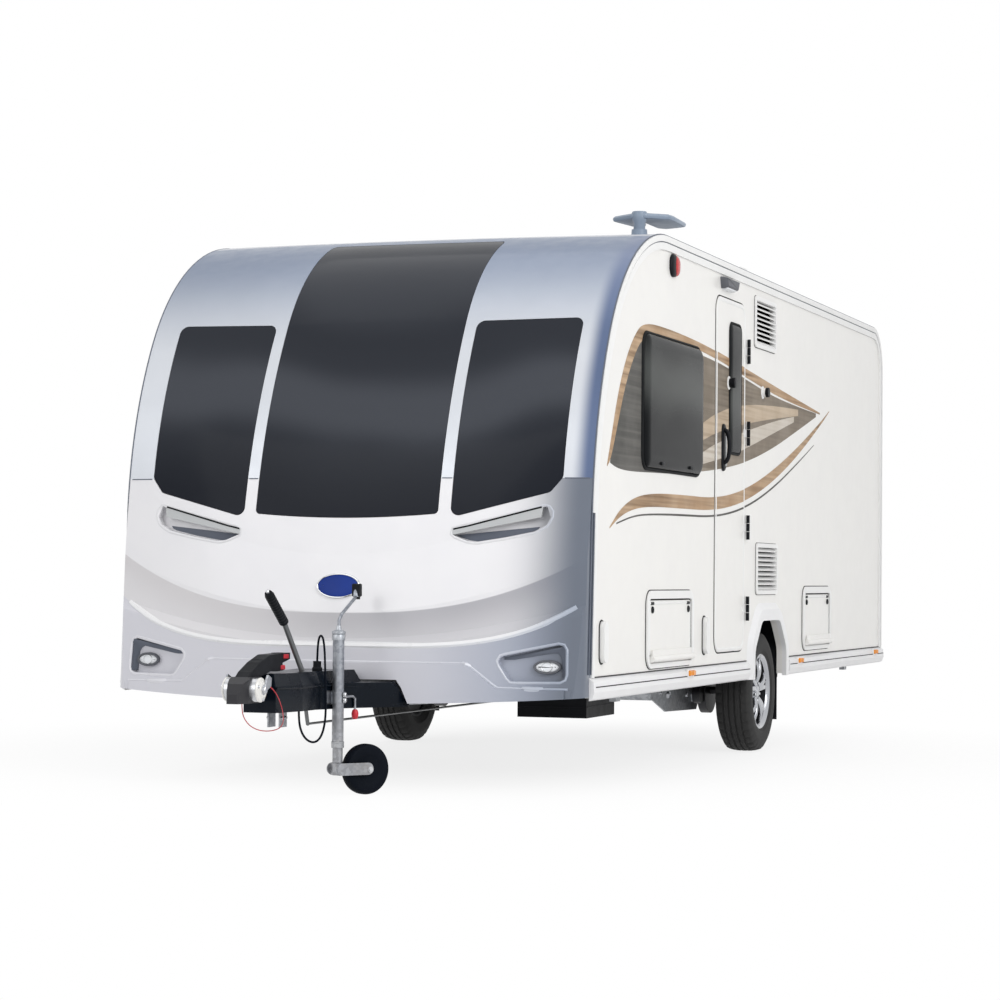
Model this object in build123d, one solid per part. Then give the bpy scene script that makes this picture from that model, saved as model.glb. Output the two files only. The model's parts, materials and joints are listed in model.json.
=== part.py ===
from build123d import *
import os
from math import asin, cos, degrees, radians, sin, tan

# Touring caravan, millimetres.  +Z up, the drawbar points to -Y, the entry door is on +X.
# The origin is on the ground at the middle of the overall length and width.
# "d" is a distance behind the body's front reference line, so y = FRONT + d.

# ---------------------------------------------------------------- body
BODY_WIDTH = 2160.0
BODY_LENGTH = 6240.0
NOSE_REACH = 1180.0
ROOF_Z = 2485.0
SILL_Z = 400.0
FLOOR_TOP_Z = 500.0
FLOOR_THICK = 45.0
FLOOR_START_D = 95.0
WALL = 30.0
CORNER_RETURN = 60.0
PANE = 8.0
SEAL_GAP = 6.0
LOCKER_GAP = 8.0
HALF = BODY_WIDTH / 2
FRONT = (NOSE_REACH - BODY_LENGTH) / 2
INNER = HALF - WALL
FLOOR_Z = FLOOR_TOP_Z - FLOOR_THICK
PAST = 20.0

# Side outline: a leaning foot line, a brow arc up to the knee angle, a roof arc, a flat roof
FOOT_D = 30.0
BROW_LEAN = 2.5
BROW_D = 63.0
BROW_Z = 1150.0
BROW_R = 1785.0
KNEE = 30.0
REAR_TOP_R = 270.0

# Nose of the front panel on the centreline, which bows ahead of the side outline
NOSE_LEAN = 8.0
NOSE_D = -62.0
NOSE_Z = 997.0
NOSE_R = 2634.0
NOSE_KNEE = 32.1
BROW_CREASE_Z = 1300.0
LOFT_END_D = 1400.0
# crease rows from the foot up: distance and height at the corner, then on the centreline
CREASES = [
    (-35.0, 405.0, -165.0, 368.0),
    (2.0, 760.0, -150.0, 605.0),
    (18.0, 795.0, -124.0, 640.0),
    (30.0, 985.0, -117.0, 750.0),
]
CORNER_R = 75.0
CORNER_FOOT_D = 20.0
CORNER_SLOPE = 0.0537
CORNER_RISE = 1100.0
FRONT_JOIN_Z = 1327.0
FRONT_END_D = 942.0
ROOF_LOW_Z = 1800.0

# Shapes on the front face: rows of (distance in from the body side, height)
CHIN = [(50.0, 435.0), (360.0, 440.0), (490.0, 540.0)]
CHIN_STEP = 12.0
LAMP_RECESS = [(80.0, 629.0), (368.0, 569.0), (304.0, 472.0), (75.0, 475.0)]
LAMP_RECESS_R = 25.0
LAMP_RECESS_DEPTH = 35.0
LAMP_IN = 156.0
LAMP_Z = 532.0
LAMP_SIZE = (57.0, 30.0)
LAMP_PROUD = 22.0
GRIP_RECESS = [
    (587.0, 1084.0), (520.0, 1058.0), (483.0, 1053.0), (352.0, 1074.0), (233.0, 1099.0),
    (183.0, 1128.0), (167.0, 1160.0), (184.0, 1207.0), (202.0, 1202.0), (588.0, 1106.0),
]
GRIP_RECESS_DEPTH = 40.0
GRIP_BAR = [(588.0, 1106.0), (202.0, 1202.0), (208.0, 1160.0), (587.0, 1084.0)]
GRIP_DEPTH = 16.0
POCKET_WALL = 8.0
# centre window: half width, foot height, distance of its top edge on the roof arc
CENTRE_WINDOW = (424.0, 1172.0, 839.0)
CENTRE_WINDOW_R = 20.0
CENTRE_WINDOW_BOW = 17.0
SIDE_PANE = [(602.0, 1156.0), (604.0, 2025.0), (121.0, 2032.0), (123.0, 1330.0), (175.0, 1266.0)]
SIDE_PANE_R = 36.0
PANE_GAP = 2.0

# ---------------------------------------------------------------- road wheels and axle
AXLE_D = 3210.0
TYRE_R = 315.0
TYRE_W = 190.0
TYRE_IN = 20.0
TYRE_OUT_X = HALF - TYRE_IN
RIM_R = 195.0
RIM_SEAT_R = 178.0
HUB_R = 62.0
DRUM_R = 120.0
STUB_R = 20.0
STUB_CLEAR = 0.5
SPOKE_PAIRS = 5
SPOKE_SPREAD = 13.0
ARM_LENGTH = 170.0
AXLE_TUBE = 90.0
TUBE_Z = 300.0
TUBE_OUT = 40.0

# Wheel arch opening in the side, set from the axle
ARCH_AHEAD = 350.0
ARCH_BEHIND = 345.0
ARCH_TOP = 690.0
ARCH_CORNER = 150.0
ARCH_R = 90.0
ARCH_LIP = 92.0
ARCH_LIP_OUT = 24.0
ARCH_LIP_TAPER = 55.0
ARCH_FRONT = AXLE_D - ARCH_AHEAD
ARCH_REAR = AXLE_D + ARCH_BEHIND
BOX_IN = 280.0
BOX_T = 12.0
BOX_MARGIN = 20.0
WHEEL_BOX_TOP_Z = ARCH_TOP + 30.0
FLAP_T = 6.0

# ---------------------------------------------------------------- doors, lockers and windows
DOOR_TO_ARCH = 175.0
DOOR_WIDTH = 585.0
DOOR_Z = (545.0, 2303.0)
DOOR_R = 75.0
DOOR_PROUD = 4.0
HINGE_OUT = 18.0
HINGE_BEHIND = 23.0
HINGE_R = 8.0
HINGE_ZS = (756.0, 1170.0, 1650.0, 2070.0)
HINGE_SPAN = 40.0
DOOR_REAR = ARCH_FRONT - DOOR_TO_ARCH
DOOR_FRONT = DOOR_REAR - DOOR_WIDTH
DOOR_HINGE_D = DOOR_REAR + HINGE_BEHIND
# door window: distances ahead of the door's rear edge, then heights
DOOR_WINDOW = (325.0, 105.0, 1540.0, 2185.0)
DOOR_WINDOW_R = 40.0
CATCH_REACH = 363.0
CATCH_Z = 1885.0
CATCH_R = 24.0
CATCH_OUT = 36.0

# Locker leaves: name, front, rear, bottom, top, side of the body
LOCKERS = [
    ("locker_door_left_front", DOOR_FRONT - 1160.0, DOOR_FRONT - 450.0, 562.0, 806.0, 1),
    ("locker_door_left_rear", ARCH_REAR + 515.0, ARCH_REAR + 1145.0, 575.0, 822.0, 1),
    ("locker_door_right_front", DOOR_FRONT - 1100.0, DOOR_FRONT - 560.0, 562.0, 806.0, -1),
    ("locker_door_right_rear", ARCH_REAR + 1545.0, ARCH_REAR + 1965.0, 575.0, 900.0, -1),
]
LOCKER_R = 22.0
FRAME_W = 45.0
FRAME_OUT = 10.0
ROLL_R = 14.0
ROLL_OUT = 17.0
ROLL_DROP = 20.0

# Side windows: front, rear, bottom, top, side of the body
SIDE_WINDOWS = [
    (815.0, DOOR_FRONT - 300.0, 1405.0, 2005.0, 1),
    (815.0, DOOR_FRONT - 300.0, 1405.0, 2005.0, -1),
    (DOOR_FRONT + 250.0, DOOR_FRONT + 1150.0, 1405.0, 1905.0, -1),
    (ARCH_REAR + 700.0, ARCH_REAR + 1600.0, 1405.0, 2005.0, -1),
]
WINDOW_R = 60.0
WINDOW_OUT = 8.0

# Louvred vents: front, rear, bottom, top, on the entry side
VENTS = [
    (ARCH_FRONT + 35.0, ARCH_FRONT + 480.0, 2122.0, 2367.0),
    (ARCH_FRONT + 90.0, ARCH_FRONT + 535.0, 838.0, 1083.0),
]
VENT_R = 14.0
VENT_BORDER = 22.0
VENT_OUT = 10.0
SLATS = 9
SLAT_T = 7.0
SLAT_LEAN = 28.0

# ---------------------------------------------------------------- skirts and trim
# skirt section: distance out from the side, height
SKIRT = [(0.0, 485.0), (20.0, 470.0), (24.0, 425.0), (14.0, 397.0), (0.0, 390.0)]
SKIRT_START_D = 50.0
SKIRT_GAP = 5.0
# rail rings round the side: inset of the outer and inner edge, thickness
RAILS = [(4.0, 32.0, 10.0), (37.0, 70.0, 8.0)]
RAIL_FOOT_Z = 485.0
RAIL_LAP_Z = 1180.0
# marker lamps on the skirts: distance from the front
MARKERS = (1530.0, ARCH_REAR + 270.0, BODY_LENGTH - 340.0)
MARKER_SIZE = (16.0, 105.0, 30.0)
MARKER_Z = 462.0
# side pads on the entry side
PADS = (190.0, DOOR_FRONT - 220.0)

# ---------------------------------------------------------------- chassis
RAIL_X = HALF - 390.0
RAIL_W = 50.0
RAIL_BOTTOM_Z = 355.0
RAIL_T = 5.0
DRAW_START_X = 68.0
DRAW_END_D = 1600.0
RAIL_END_D = BODY_LENGTH - 290.0
RAIL_H = FLOOR_Z - RAIL_BOTTOM_Z
CROSS_DS = (AXLE_D - 1010.0, AXLE_D + 1090.0, BODY_LENGTH - 440.0)
CROSS_W = 50.0
CROSS_UP = 20.0
# axle plate in (distance from the axle, height)
AXLE_PLATE = [
    (-944.0, 420.0), (-944.0, 300.0), (-700.0, 230.0), (-100.0, 217.0), (-60.0, 260.0), (-60.0, 420.0),
]
PLATE_T = 8.0
PLATE_HOLE_D = -640.0
PLATE_HOLE = (90.0, 34.0)
TANK = ((340.0, RAIL_X - 10.0), (1300.0, 1750.0), (250.0, RAIL_BOTTOM_Z))

# Corner steadies: name, side, distance, direction of the foot
STEADY_X = HALF - 280.0
STEADY_Z = 425.0
STEADY_LENGTH = 470.0
STEADY_W = 44.0
STEADY_H = 28.0
CHEEK_GAP = 1.0
CHEEK_T = 5.0
STEADIES = [
    ("left_front", 1, 660.0, -1),
    ("right_front", -1, 660.0, -1),
    ("left_rear", 1, BODY_LENGTH - 640.0, 1),
    ("right_rear", -1, BODY_LENGTH - 640.0, 1),
]

# ---------------------------------------------------------------- drawbar, set from the tow ball
COUPLING_D = 130.0 - NOSE_REACH
COUPLING_Z = 455.0
BALL_SOCKET_R = 25.4
BALL_SOCKET_DEPTH = 70.0
HEAD_W = 84.0
HEAD_D = (COUPLING_D - 115.0, COUPLING_D + 90.0)
HEAD_Z = (402.0, 505.0)
HEAD_R = 12.0
# coupling head seen from the side, in (distance from the tow ball, height)
HEAD_SIDE = [
    (90.0, 402.0), (90.0, 496.0), (70.0, 505.0), (-30.0, 505.0), (-85.0, 480.0), (-115.0, 440.0), (-112.0, 402.0),
]
DISC_R = 47.0
DISC_T = 30.0
SHAFT_R = 30.0
HOUSING_W = 76.0
HOUSING_D = (COUPLING_D + 250.0, COUPLING_D + 620.0)
HOUSING_Z = (400.0, 500.0)
DRAW_START_D = COUPLING_D + 530.0
# stabiliser handle in (distance from the tow ball, height)
HANDLE = [
    (-25.0, 505.0), (3.0, 524.0), (89.0, 560.0), (190.0, 588.0), (385.0, 592.0), (385.0, 566.0),
    (310.0, 552.0), (321.0, 522.0), (260.0, 519.0), (190.0, 521.0), (118.0, 507.0),
]
HANDLE_W = 56.0
BRAKE_X = 60.0
BRAKE_PIVOT = (BRAKE_X, COUPLING_D + 450.0, 440.0)
BRAKE_BEND = (BRAKE_X, COUPLING_D + 432.0, 520.0)
BRAKE_GRIP = (BRAKE_X, COUPLING_D + 246.0, 718.0)
BRAKE_TIP = (BRAKE_X, COUPLING_D + 95.0, 831.0)
ROD_HEAD = (BRAKE_X, COUPLING_D + 500.0, 298.0)
ROD_R = 5.0

# Drawbar cover: half outline at its foot and at its raised tray (half width, distance)
COVER_REAR_D = -125.0
COVER_FOOT = [
    (70.0, COUPLING_D + 150.0), (101.0, COUPLING_D + 350.0), (103.0, COUPLING_D + 530.0),
    (124.0, COUPLING_D + 610.0), (305.0, -172.0), (335.0, COVER_REAR_D),
]
COVER_TRAY = [
    (68.0, COUPLING_D + 152.0), (99.0, COUPLING_D + 350.0), (101.0, COUPLING_D + 530.0),
    (118.0, COUPLING_D + 610.0), (150.0, -195.0),
]
COVER_SECTION = [(343.0, 357.0), (309.0, 430.0), (286.0, 462.0)]
COVER_GAP = 8.0
COVER_T = 4.0
COVER_Z = (357.0, 462.0, 512.0)
COVER_TAPER = 22.0

# Jockey wheel
JOCKEY_X = 150.0
JOCKEY_D = COUPLING_D + 605.0
JOCKEY_TOP_Z = 673.0
JOCKEY_LOW_Z = 203.0
JOCKEY_TUBE_R = 24.0
JOCKEY_BORE_R = 21.5
JOCKEY_INNER_R = 21.0
JOCKEY_INNER_Z = (136.0, 480.0)
JOCKEY_WHEEL_R = 105.0
JOCKEY_WHEEL_W = 62.0
JOCKEY_TRAIL = 135.0
JOCKEY_TURN = -36.0
FORK_Z = (84.0, 134.0)
# crank: inward and rearward offset from the tube, height
CRANK = [(0.0, 2.0, 722.0), (4.0, 42.0, 749.0), (6.0, 199.0, 818.0), (6.0, 209.0, 868.0)]
CRANK_R = 7.0
FORK_T = 6.0
FORK_GAP = 6.0
CLAMP_Z = (381.0, 427.0)

# Cables: outer diameter, then points (x, d, z)
BREAKAWAY_DIA = 4.0
BREAKAWAY = [
    (-36.0, -990.0, 402.0), (-38.0, -985.0, 366.0), (-35.0, -966.0, 333.0), (-26.0, -930.0, 304.0),
    (-12.0, -882.0, 286.0), (6.0, -832.0, 280.0), (32.0, -806.0, 285.0), (58.0, -812.0, 299.0),
    (77.0, -836.0, 324.0), (87.0, -866.0, 358.0), (88.0, -893.0, 398.0), (81.0, -918.0, 436.0),
    (66.0, -942.0, 464.0), (56.0, -974.0, 476.0),
]
LEAD_DIA = 9.0
LEAD = [
    (80.0, -690.0, 396.0), (82.0, -696.0, 336.0), (92.0, -700.0, 280.0), (112.0, -686.0, 240.0),
    (134.0, -650.0, 226.0), (146.0, -608.0, 250.0), (146.0, -572.0, 304.0), (138.0, -545.0, 370.0),
    (128.0, -526.0, 446.0), (120.0, -515.0, 530.0), (114.0, -508.0, 608.0), (98.0, -490.0, 656.0),
    (70.0, -458.0, 660.0), (54.0, -440.0, 616.0), (52.0, -438.0, 552.0),
]
PLUG_R = 17.0
BEND_SHARE = 0.45

# ---------------------------------------------------------------- roof and lamps
AERIAL_HUB = (HALF - 160.0, 1300.0)
AERIAL_HUB_R = 36.0
AERIAL_TOP_Z = 2617.0
# swept aerial wings: rounds of (x, d, radius) that each wing is stretched over from the hub
AERIAL_WINGS = [
    [(HALF - 286.0, 1385.0, 22.0), (HALF - 240.0, 1560.0, 40.0)],
    [(HALF - 48.0, 1385.0, 26.0), (HALF - 62.0, 1640.0, 36.0), (HALF - 145.0, 1670.0, 36.0)],
]
WING_Z = 2580.0
WING_T = 26.0
ROOF_VENT = ((HALF - 130.0, HALF - 40.0), (2800.0, 2950.0), (ROOF_Z, ROOF_Z + 38.0))
CORNER_LAMP_D = (1250.0, 1390.0)
CORNER_LAMP_Z = (2300.0, 2411.0)
CORNER_LAMP_OUT = 48.0
DOOR_LAMP_Z = (2346.0, 2402.0)
REAR_LAMP_Z = (560.0, 900.0)
REAR_LAMP_OUT = 22.0

# Cabin furniture: inner edge of what stands along a wall, heights, then x, d and z pairs
AISLE_X = HALF - 560.0
BACK_X = INNER - 10.0
BENCH_TOP_Z = 900.0
COUNTER_TOP_Z = 1390.0
BED_TOP_Z = 750.0
CEILING_Z = ROOF_Z - 260.0
BENCH_D = (560.0, DOOR_FRONT - 150.0)
WASHROOM_D = BODY_LENGTH - 970.0
FURNITURE = [
    ((AISLE_X, BACK_X), BENCH_D, (FLOOR_TOP_Z, BENCH_TOP_Z)),
    ((-BACK_X, -AISLE_X), BENCH_D, (FLOOR_TOP_Z, BENCH_TOP_Z)),
    ((-420.0, 420.0), (200.0, 545.0), (FLOOR_TOP_Z, BENCH_TOP_Z)),
    ((-BACK_X, -AISLE_X), (DOOR_FRONT + 20.0, ARCH_FRONT - 60.0), (FLOOR_TOP_Z, COUNTER_TOP_Z)),
    ((AISLE_X, BACK_X), (ARCH_FRONT - 60.0, ARCH_FRONT + 440.0), (WHEEL_BOX_TOP_Z, CEILING_Z)),
    ((-BACK_X, 330.0), (ARCH_REAR + 640.0, WASHROOM_D - 20.0), (FLOOR_TOP_Z, BED_TOP_Z)),
    ((-BACK_X, 300.0), (WASHROOM_D, WASHROOM_D + WALL), (FLOOR_TOP_Z, CEILING_Z)),
]


# ---------------------------------------------------------------- helpers
def block(x, d, z):
    """Box from (low, high) pairs in x, distance and height."""
    size = (x[1] - x[0], d[1] - d[0], z[1] - z[0])
    middle = ((x[0] + x[1]) / 2, FRONT + (d[0] + d[1]) / 2, (z[0] + z[1]) / 2)
    return Pos(*middle) * Box(*size)


def both(x0, x1, side):
    """Ordered pair of x values for one side of the body."""
    return sorted((side * x0, side * x1))


def side_plane(x):
    """Plane facing +X whose local axes are Y and Z."""
    return Plane(origin=(x, 0, 0), x_dir=(0, 1, 0), z_dir=(1, 0, 0))


def side_prism(face, low, high):
    """Prism along X between two x values from a face drawn in (y, z)."""
    return extrude(side_plane(low) * face, high - low, dir=(1, 0, 0))


def side_slab(side, inner, outer, face):
    """Prism on one side of the body from |x| inner to outer."""
    return side_prism(face, *both(inner, outer, side))


def through_wall(side, face):
    """Cutter through one side wall."""
    return side_slab(side, INNER - PAST, HALF + PAST, face)


def front_prism(face, low_d, high_d):
    """Prism along Y between two distances from a face drawn in (x, z)."""
    plane = Plane(origin=(0, FRONT + low_d, 0), x_dir=(1, 0, 0), z_dir=(0, -1, 0))
    return extrude(plane * face, high_d - low_d, dir=(0, 1, 0))


def side_polygon(points, d=0.0):
    """Polygon in (y, z) from points given as (distance, height) past a distance d."""
    return Polygon(*[(FRONT + d + a, z) for a, z in points], align=None)


def inboard_polygon(points, side, radius):
    """Rounded polygon in (x, z) from points given as (distance in from the side, height)."""
    face = Polygon(*[(side * (HALF - a), z) for a, z in points], align=None)
    return fillet(face.vertices(), radius) if radius else face


def rounded(d0, d1, z0, z1, radius, grow=0.0):
    """Rounded rectangle in (y, z), grown outward by a margin."""
    centre = (FRONT + (d0 + d1) / 2, (z0 + z1) / 2)
    return Pos(*centre) * RectangleRounded(d1 - d0 + 2 * grow, z1 - z0 + 2 * grow, radius + grow)


def rod(start, end, radius):
    """Round bar between two points given as (x, d, z)."""
    a = Vector(start[0], FRONT + start[1], start[2])
    b = Vector(end[0], FRONT + end[1], end[2])
    return extrude(Plane(origin=a, z_dir=b - a) * Circle(radius), (b - a).length)


def bent_rod(points, radius):
    """Round bar through several points with ball corners."""
    bar = rod(points[0], points[1], radius)
    for a, b in zip(points[1:], points[2:]):
        bar += rod(a, b, radius) + Pos(a[0], FRONT + a[1], a[2]) * Sphere(radius)
    return bar


def peg(x, d, z, radius, height):
    """Upright cylinder standing on a height."""
    return Pos(x, FRONT + d, z + height / 2) * Cylinder(radius, height)


def write(name, shape):
    """Write one node as a STEP file."""
    if isinstance(shape, (list, tuple)):
        shape = Compound(children=list(shape))
    shape.label = name
    export_step(shape, f"parts/{name}.step")


# ---------------------------------------------------------------- body outlines
def side_outline(inset):
    """Closed side outline of the body in (y, z), moved inward by an inset."""
    lean = radians(BROW_LEAN)
    knee = radians(KNEE)
    start = (FRONT + BROW_D + inset * cos(lean), BROW_Z - inset * sin(lean))
    foot = (FRONT + FOOT_D + inset, SILL_Z)
    brow = JernArc(start, (sin(lean), cos(lean)), BROW_R - inset, BROW_LEAN - KNEE)
    roof_r = (ROOF_Z - inset - brow.position_at(1).Y) / (1 - sin(knee))
    roof = JernArc(brow.position_at(1), (sin(knee), cos(knee)), roof_r, KNEE - 90)
    rear_y = FRONT + BODY_LENGTH - inset
    rear_r = REAR_TOP_R - inset
    rear = JernArc((rear_y - rear_r, ROOF_Z - inset), (1, 0), rear_r, -90)
    heel = (rear_y, SILL_Z)
    edges = [Line(foot, start), brow, roof, Line(roof.position_at(1), rear.position_at(0)), rear]
    return make_face(edges + [Line(rear.position_at(1), heel), Line(heel, foot)])


def brow_point(z):
    """Distance and lean of the side outline at a height on its brow arc."""
    lean = radians(BROW_LEAN)
    angle = asin(sin(lean) + (z - BROW_Z) / BROW_R)
    return BROW_D + BROW_R * (cos(lean) - cos(angle)), degrees(angle)


def front_section(x, rows, start, lean, radius, knee, inset):
    """Closed section of the front at one x: crease rows, brow arc, roof arc, flat roof."""
    tilt = radians(lean)
    bend = radians(knee)
    drop = 2 * inset
    first = (FRONT + start[0] + inset * cos(tilt), start[1] - inset * sin(tilt))
    points = [(FRONT + d + inset, z - drop) for d, z in rows] + [first]
    edges = [Line(a, b) for a, b in zip(points, points[1:])]
    brow = JernArc(first, (sin(tilt), cos(tilt)), radius - inset, lean - knee)
    roof_r = (ROOF_Z - inset - brow.position_at(1).Y) / (1 - sin(bend))
    roof = JernArc(brow.position_at(1), (sin(bend), cos(bend)), roof_r, knee - 90)
    top = (FRONT + LOFT_END_D, ROOF_Z - inset)
    heel = (FRONT + LOFT_END_D, rows[0][1] - drop)
    edges += [brow, roof, Line(roof.position_at(1), top), Line(top, heel), Line(heel, points[0])]
    return side_plane(x) * make_face(edges)


def front_solid(half, inset, creased):
    """Front of the body lofted through the two corners and the centreline."""
    side_d, side_lean = brow_point(BROW_CREASE_Z)
    kept = CREASES if creased else CREASES[:1]
    corner = [(row[0], row[1]) for row in kept]
    centre = [(row[2], row[3]) for row in kept]
    side = (corner, (side_d, BROW_CREASE_Z), side_lean, BROW_R, KNEE, inset)
    middle = (centre, (NOSE_D, NOSE_Z), NOSE_LEAN, NOSE_R, NOSE_KNEE, inset)
    sections = [front_section(-half, *side), front_section(0, *middle), front_section(half, *side)]
    return loft(sections)


def body_core():
    """Everything inside the ring of panels that wraps the front, roof and rear."""
    return side_prism(side_outline(CORNER_RETURN), -HALF - PAST, HALF + PAST)


def corner_cutters():
    """Slivers that round the lower front corners, fading out at the brow."""
    depth = 400.0
    cutters = []
    for side in (1, -1):
        centre = (side * (HALF - CORNER_R), FRONT + CORNER_FOOT_D)
        span = (CORNER_R + 40.0, depth)
        sliver = Pos(centre[0] + side * span[0] / 2, centre[1] - depth / 2) * Rectangle(*span)
        sliver -= Pos(*centre) * Circle(CORNER_R)
        plane = Plane.XY.offset(SILL_Z - 50.0)
        cutters.append(extrude(plane * sliver, CORNER_RISE, dir=(0, CORNER_SLOPE, 1)))
    return cutters


def nose_height(d):
    """Height of the roof arc on the centreline at a distance."""
    lean = radians(NOSE_LEAN)
    bend = radians(NOSE_KNEE)
    end_d = NOSE_D + NOSE_R * (cos(lean) - cos(bend))
    end_z = NOSE_Z + NOSE_R * (sin(bend) - sin(lean))
    radius = (ROOF_Z - end_z) / (1 - sin(bend))
    ahead = end_d + radius * cos(bend) - d
    return ROOF_Z - radius + (radius ** 2 - ahead ** 2) ** 0.5


def front_openings(grow):
    """Prisms through the front for its three windows, grown by a margin."""
    half, low, top_d = CENTRE_WINDOW
    high = nose_height(top_d)
    centre = RectangleRounded(2 * (half + grow), high - low + 2 * grow, CENTRE_WINDOW_R)
    reach = half + grow - CENTRE_WINDOW_R
    foot = low - grow
    bow = ThreePointArc((-reach, foot), (0, foot - CENTRE_WINDOW_BOW), (reach, foot))
    faces = [Pos(0, (low + high) / 2) * centre + make_face([bow, Line((reach, foot), (-reach, foot))])]
    for side in (1, -1):
        pane = inboard_polygon(SIDE_PANE, side, SIDE_PANE_R)
        faces.append(offset(pane, grow) if grow else pane)
    return [front_prism(face, -NOSE_REACH, LOFT_END_D) for face in faces]


def cover_gap():
    """Cut in the foot of the front panel that the drawbar cover passes through."""
    right = [(x + COVER_GAP, z + COVER_GAP) for x, z in COVER_SECTION]
    low = [(right[0][0], SILL_Z - 100.0)]
    points = low + right + [(-x, z) for x, z in reversed(low + right)]
    return front_prism(Polygon(*points, align=None), -400.0, 400.0)


def chin(outer):
    """Raised lower part of the front face."""
    right = [(HALF - a, z) for a, z in CHIN]
    low = [(HALF - CHIN[0][0], SILL_Z - 100.0)]
    points = low + right + [(-x, z) for x, z in reversed(low + right)]
    area = front_prism(Polygon(*points, align=None), -400.0, 0.0)
    return (Pos(0, -CHIN_STEP, 0) * outer) & area


def pocket(shell, outer, face, depth):
    """Sink a lined pocket of an outline into the front shell."""
    grown = front_prism(offset(face, POCKET_WALL), -400.0, 400.0)
    liner = grown & (outer - Pos(0, depth + POCKET_WALL, 0) * outer)
    opening = front_prism(face, -400.0, 400.0) - Pos(0, depth, 0) * outer
    return shell + liner - opening


def arch_outline(grow):
    """Wheel-arch opening in (y, z): upright sides with rounded sloping shoulders."""
    low = SILL_Z - 80.0
    shoulder = ARCH_TOP - ARCH_CORNER
    points = [
        (ARCH_FRONT, low), (ARCH_FRONT, shoulder), (ARCH_FRONT + ARCH_CORNER, ARCH_TOP),
        (ARCH_REAR - ARCH_CORNER, ARCH_TOP), (ARCH_REAR, shoulder), (ARCH_REAR, low),
    ]
    face = side_polygon(points)
    face = fillet(face.vertices().sort_by(Axis.Y)[2:], ARCH_R)
    return offset(face, grow) if grow else face


# ---------------------------------------------------------------- body panels
def front_panels():
    outer = front_solid(HALF, 0.0, True)
    face = outer + chin(outer)
    shell = face - front_solid(INNER, WALL, False) - body_core()
    shell -= block((-HALF - PAST, HALF + PAST), (FRONT_END_D, LOFT_END_D + PAST), (0, ROOF_Z + PAST))
    for cutter in corner_cutters():
        shell -= cutter
    for side in (1, -1):
        recess = inboard_polygon(LAMP_RECESS, side, LAMP_RECESS_R)
        shell = pocket(shell, outer, recess, LAMP_RECESS_DEPTH)
        shell = pocket(shell, outer, inboard_polygon(GRIP_RECESS, side, 0), GRIP_RECESS_DEPTH)
    for opening in front_openings(0.0):
        shell -= opening
    shell -= cover_gap()
    above = block((-HALF - PAST, HALF + PAST), (-NOSE_REACH, LOFT_END_D), (FRONT_JOIN_Z, ROOF_Z + PAST))
    write("front_upper_panel", shell & above)
    write("front_lower_panel", shell - above)
    front_fittings(outer)
    skin = front_solid(INNER, 0.0, True) - front_solid(INNER, PANE, False)
    write("front_windows", [skin & opening for opening in front_openings(-PANE_GAP)])


def front_fittings(outer):
    """Lamps in the lower pockets and grip bars in the upper ones."""
    lamps = []
    bars = []
    for side in (1, -1):
        lens = front_prism(Pos(side * (HALF - LAMP_IN), LAMP_Z) * Ellipse(*LAMP_SIZE), -400.0, 400.0)
        proud = Pos(0, LAMP_RECESS_DEPTH - LAMP_PROUD, 0) * outer
        lamps.append((lens & proud) - Pos(0, LAMP_RECESS_DEPTH, 0) * outer)
        bar = front_prism(inboard_polygon(GRIP_BAR, side, 0), -400.0, 400.0)
        bars.append((bar & outer) - Pos(0, GRIP_DEPTH, 0) * outer)
    write("front_lamps", lamps)
    write("front_grips", bars)


def roof_and_rear():
    front = front_solid(HALF, 0.0, True) - front_solid(INNER, WALL, False)
    main = side_prism(side_outline(0.0), -HALF, HALF) - side_prism(side_outline(WALL), -INNER, INNER)
    wide = (-HALF - PAST, HALF + PAST)
    rear_start = BODY_LENGTH - REAR_TOP_R
    ahead = front & block(wide, (FRONT_END_D, LOFT_END_D), (0, ROOF_Z + PAST))
    behind = main & block(wide, (LOFT_END_D, rear_start), (0, ROOF_Z + PAST))
    roof = (ahead + behind) - body_core()
    write("roof_panel", roof & block(wide, (0, BODY_LENGTH), (ROOF_LOW_Z, ROOF_Z + PAST)))
    rear = main & block(wide, (rear_start, BODY_LENGTH + PAST), (SILL_Z, ROOF_Z + PAST))
    write("rear_panel", rear - body_core())


def side_walls():
    core = side_outline(CORNER_RETURN)
    for name, side in (("side_wall_left", 1), ("side_wall_right", -1)):
        wall = side_slab(side, INNER, HALF, core)
        for d0, d1, z0, z1, where in SIDE_WINDOWS:
            if where == side:
                wall -= through_wall(side, rounded(d0, d1, z0, z1, WINDOW_R))
        for _, d0, d1, z0, z1, where in LOCKERS:
            if where == side:
                wall -= through_wall(side, rounded(d0, d1, z0, z1, LOCKER_R, LOCKER_GAP))
        if side > 0:
            wall -= through_wall(side, rounded(DOOR_FRONT, DOOR_REAR, *DOOR_Z, DOOR_R, SEAL_GAP))
            for vent in VENTS:
                wall -= through_wall(side, rounded(*vent, VENT_R))
        wall -= through_wall(side, arch_outline(0.0))
        write(name, wall)


def side_windows():
    panes = []
    for d0, d1, z0, z1, side in SIDE_WINDOWS:
        pane = side_slab(side, HALF - PANE, HALF + WINDOW_OUT, rounded(d0, d1, z0, z1, WINDOW_R))
        panes.append(pane)
    write("side_windows", panes)


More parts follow.
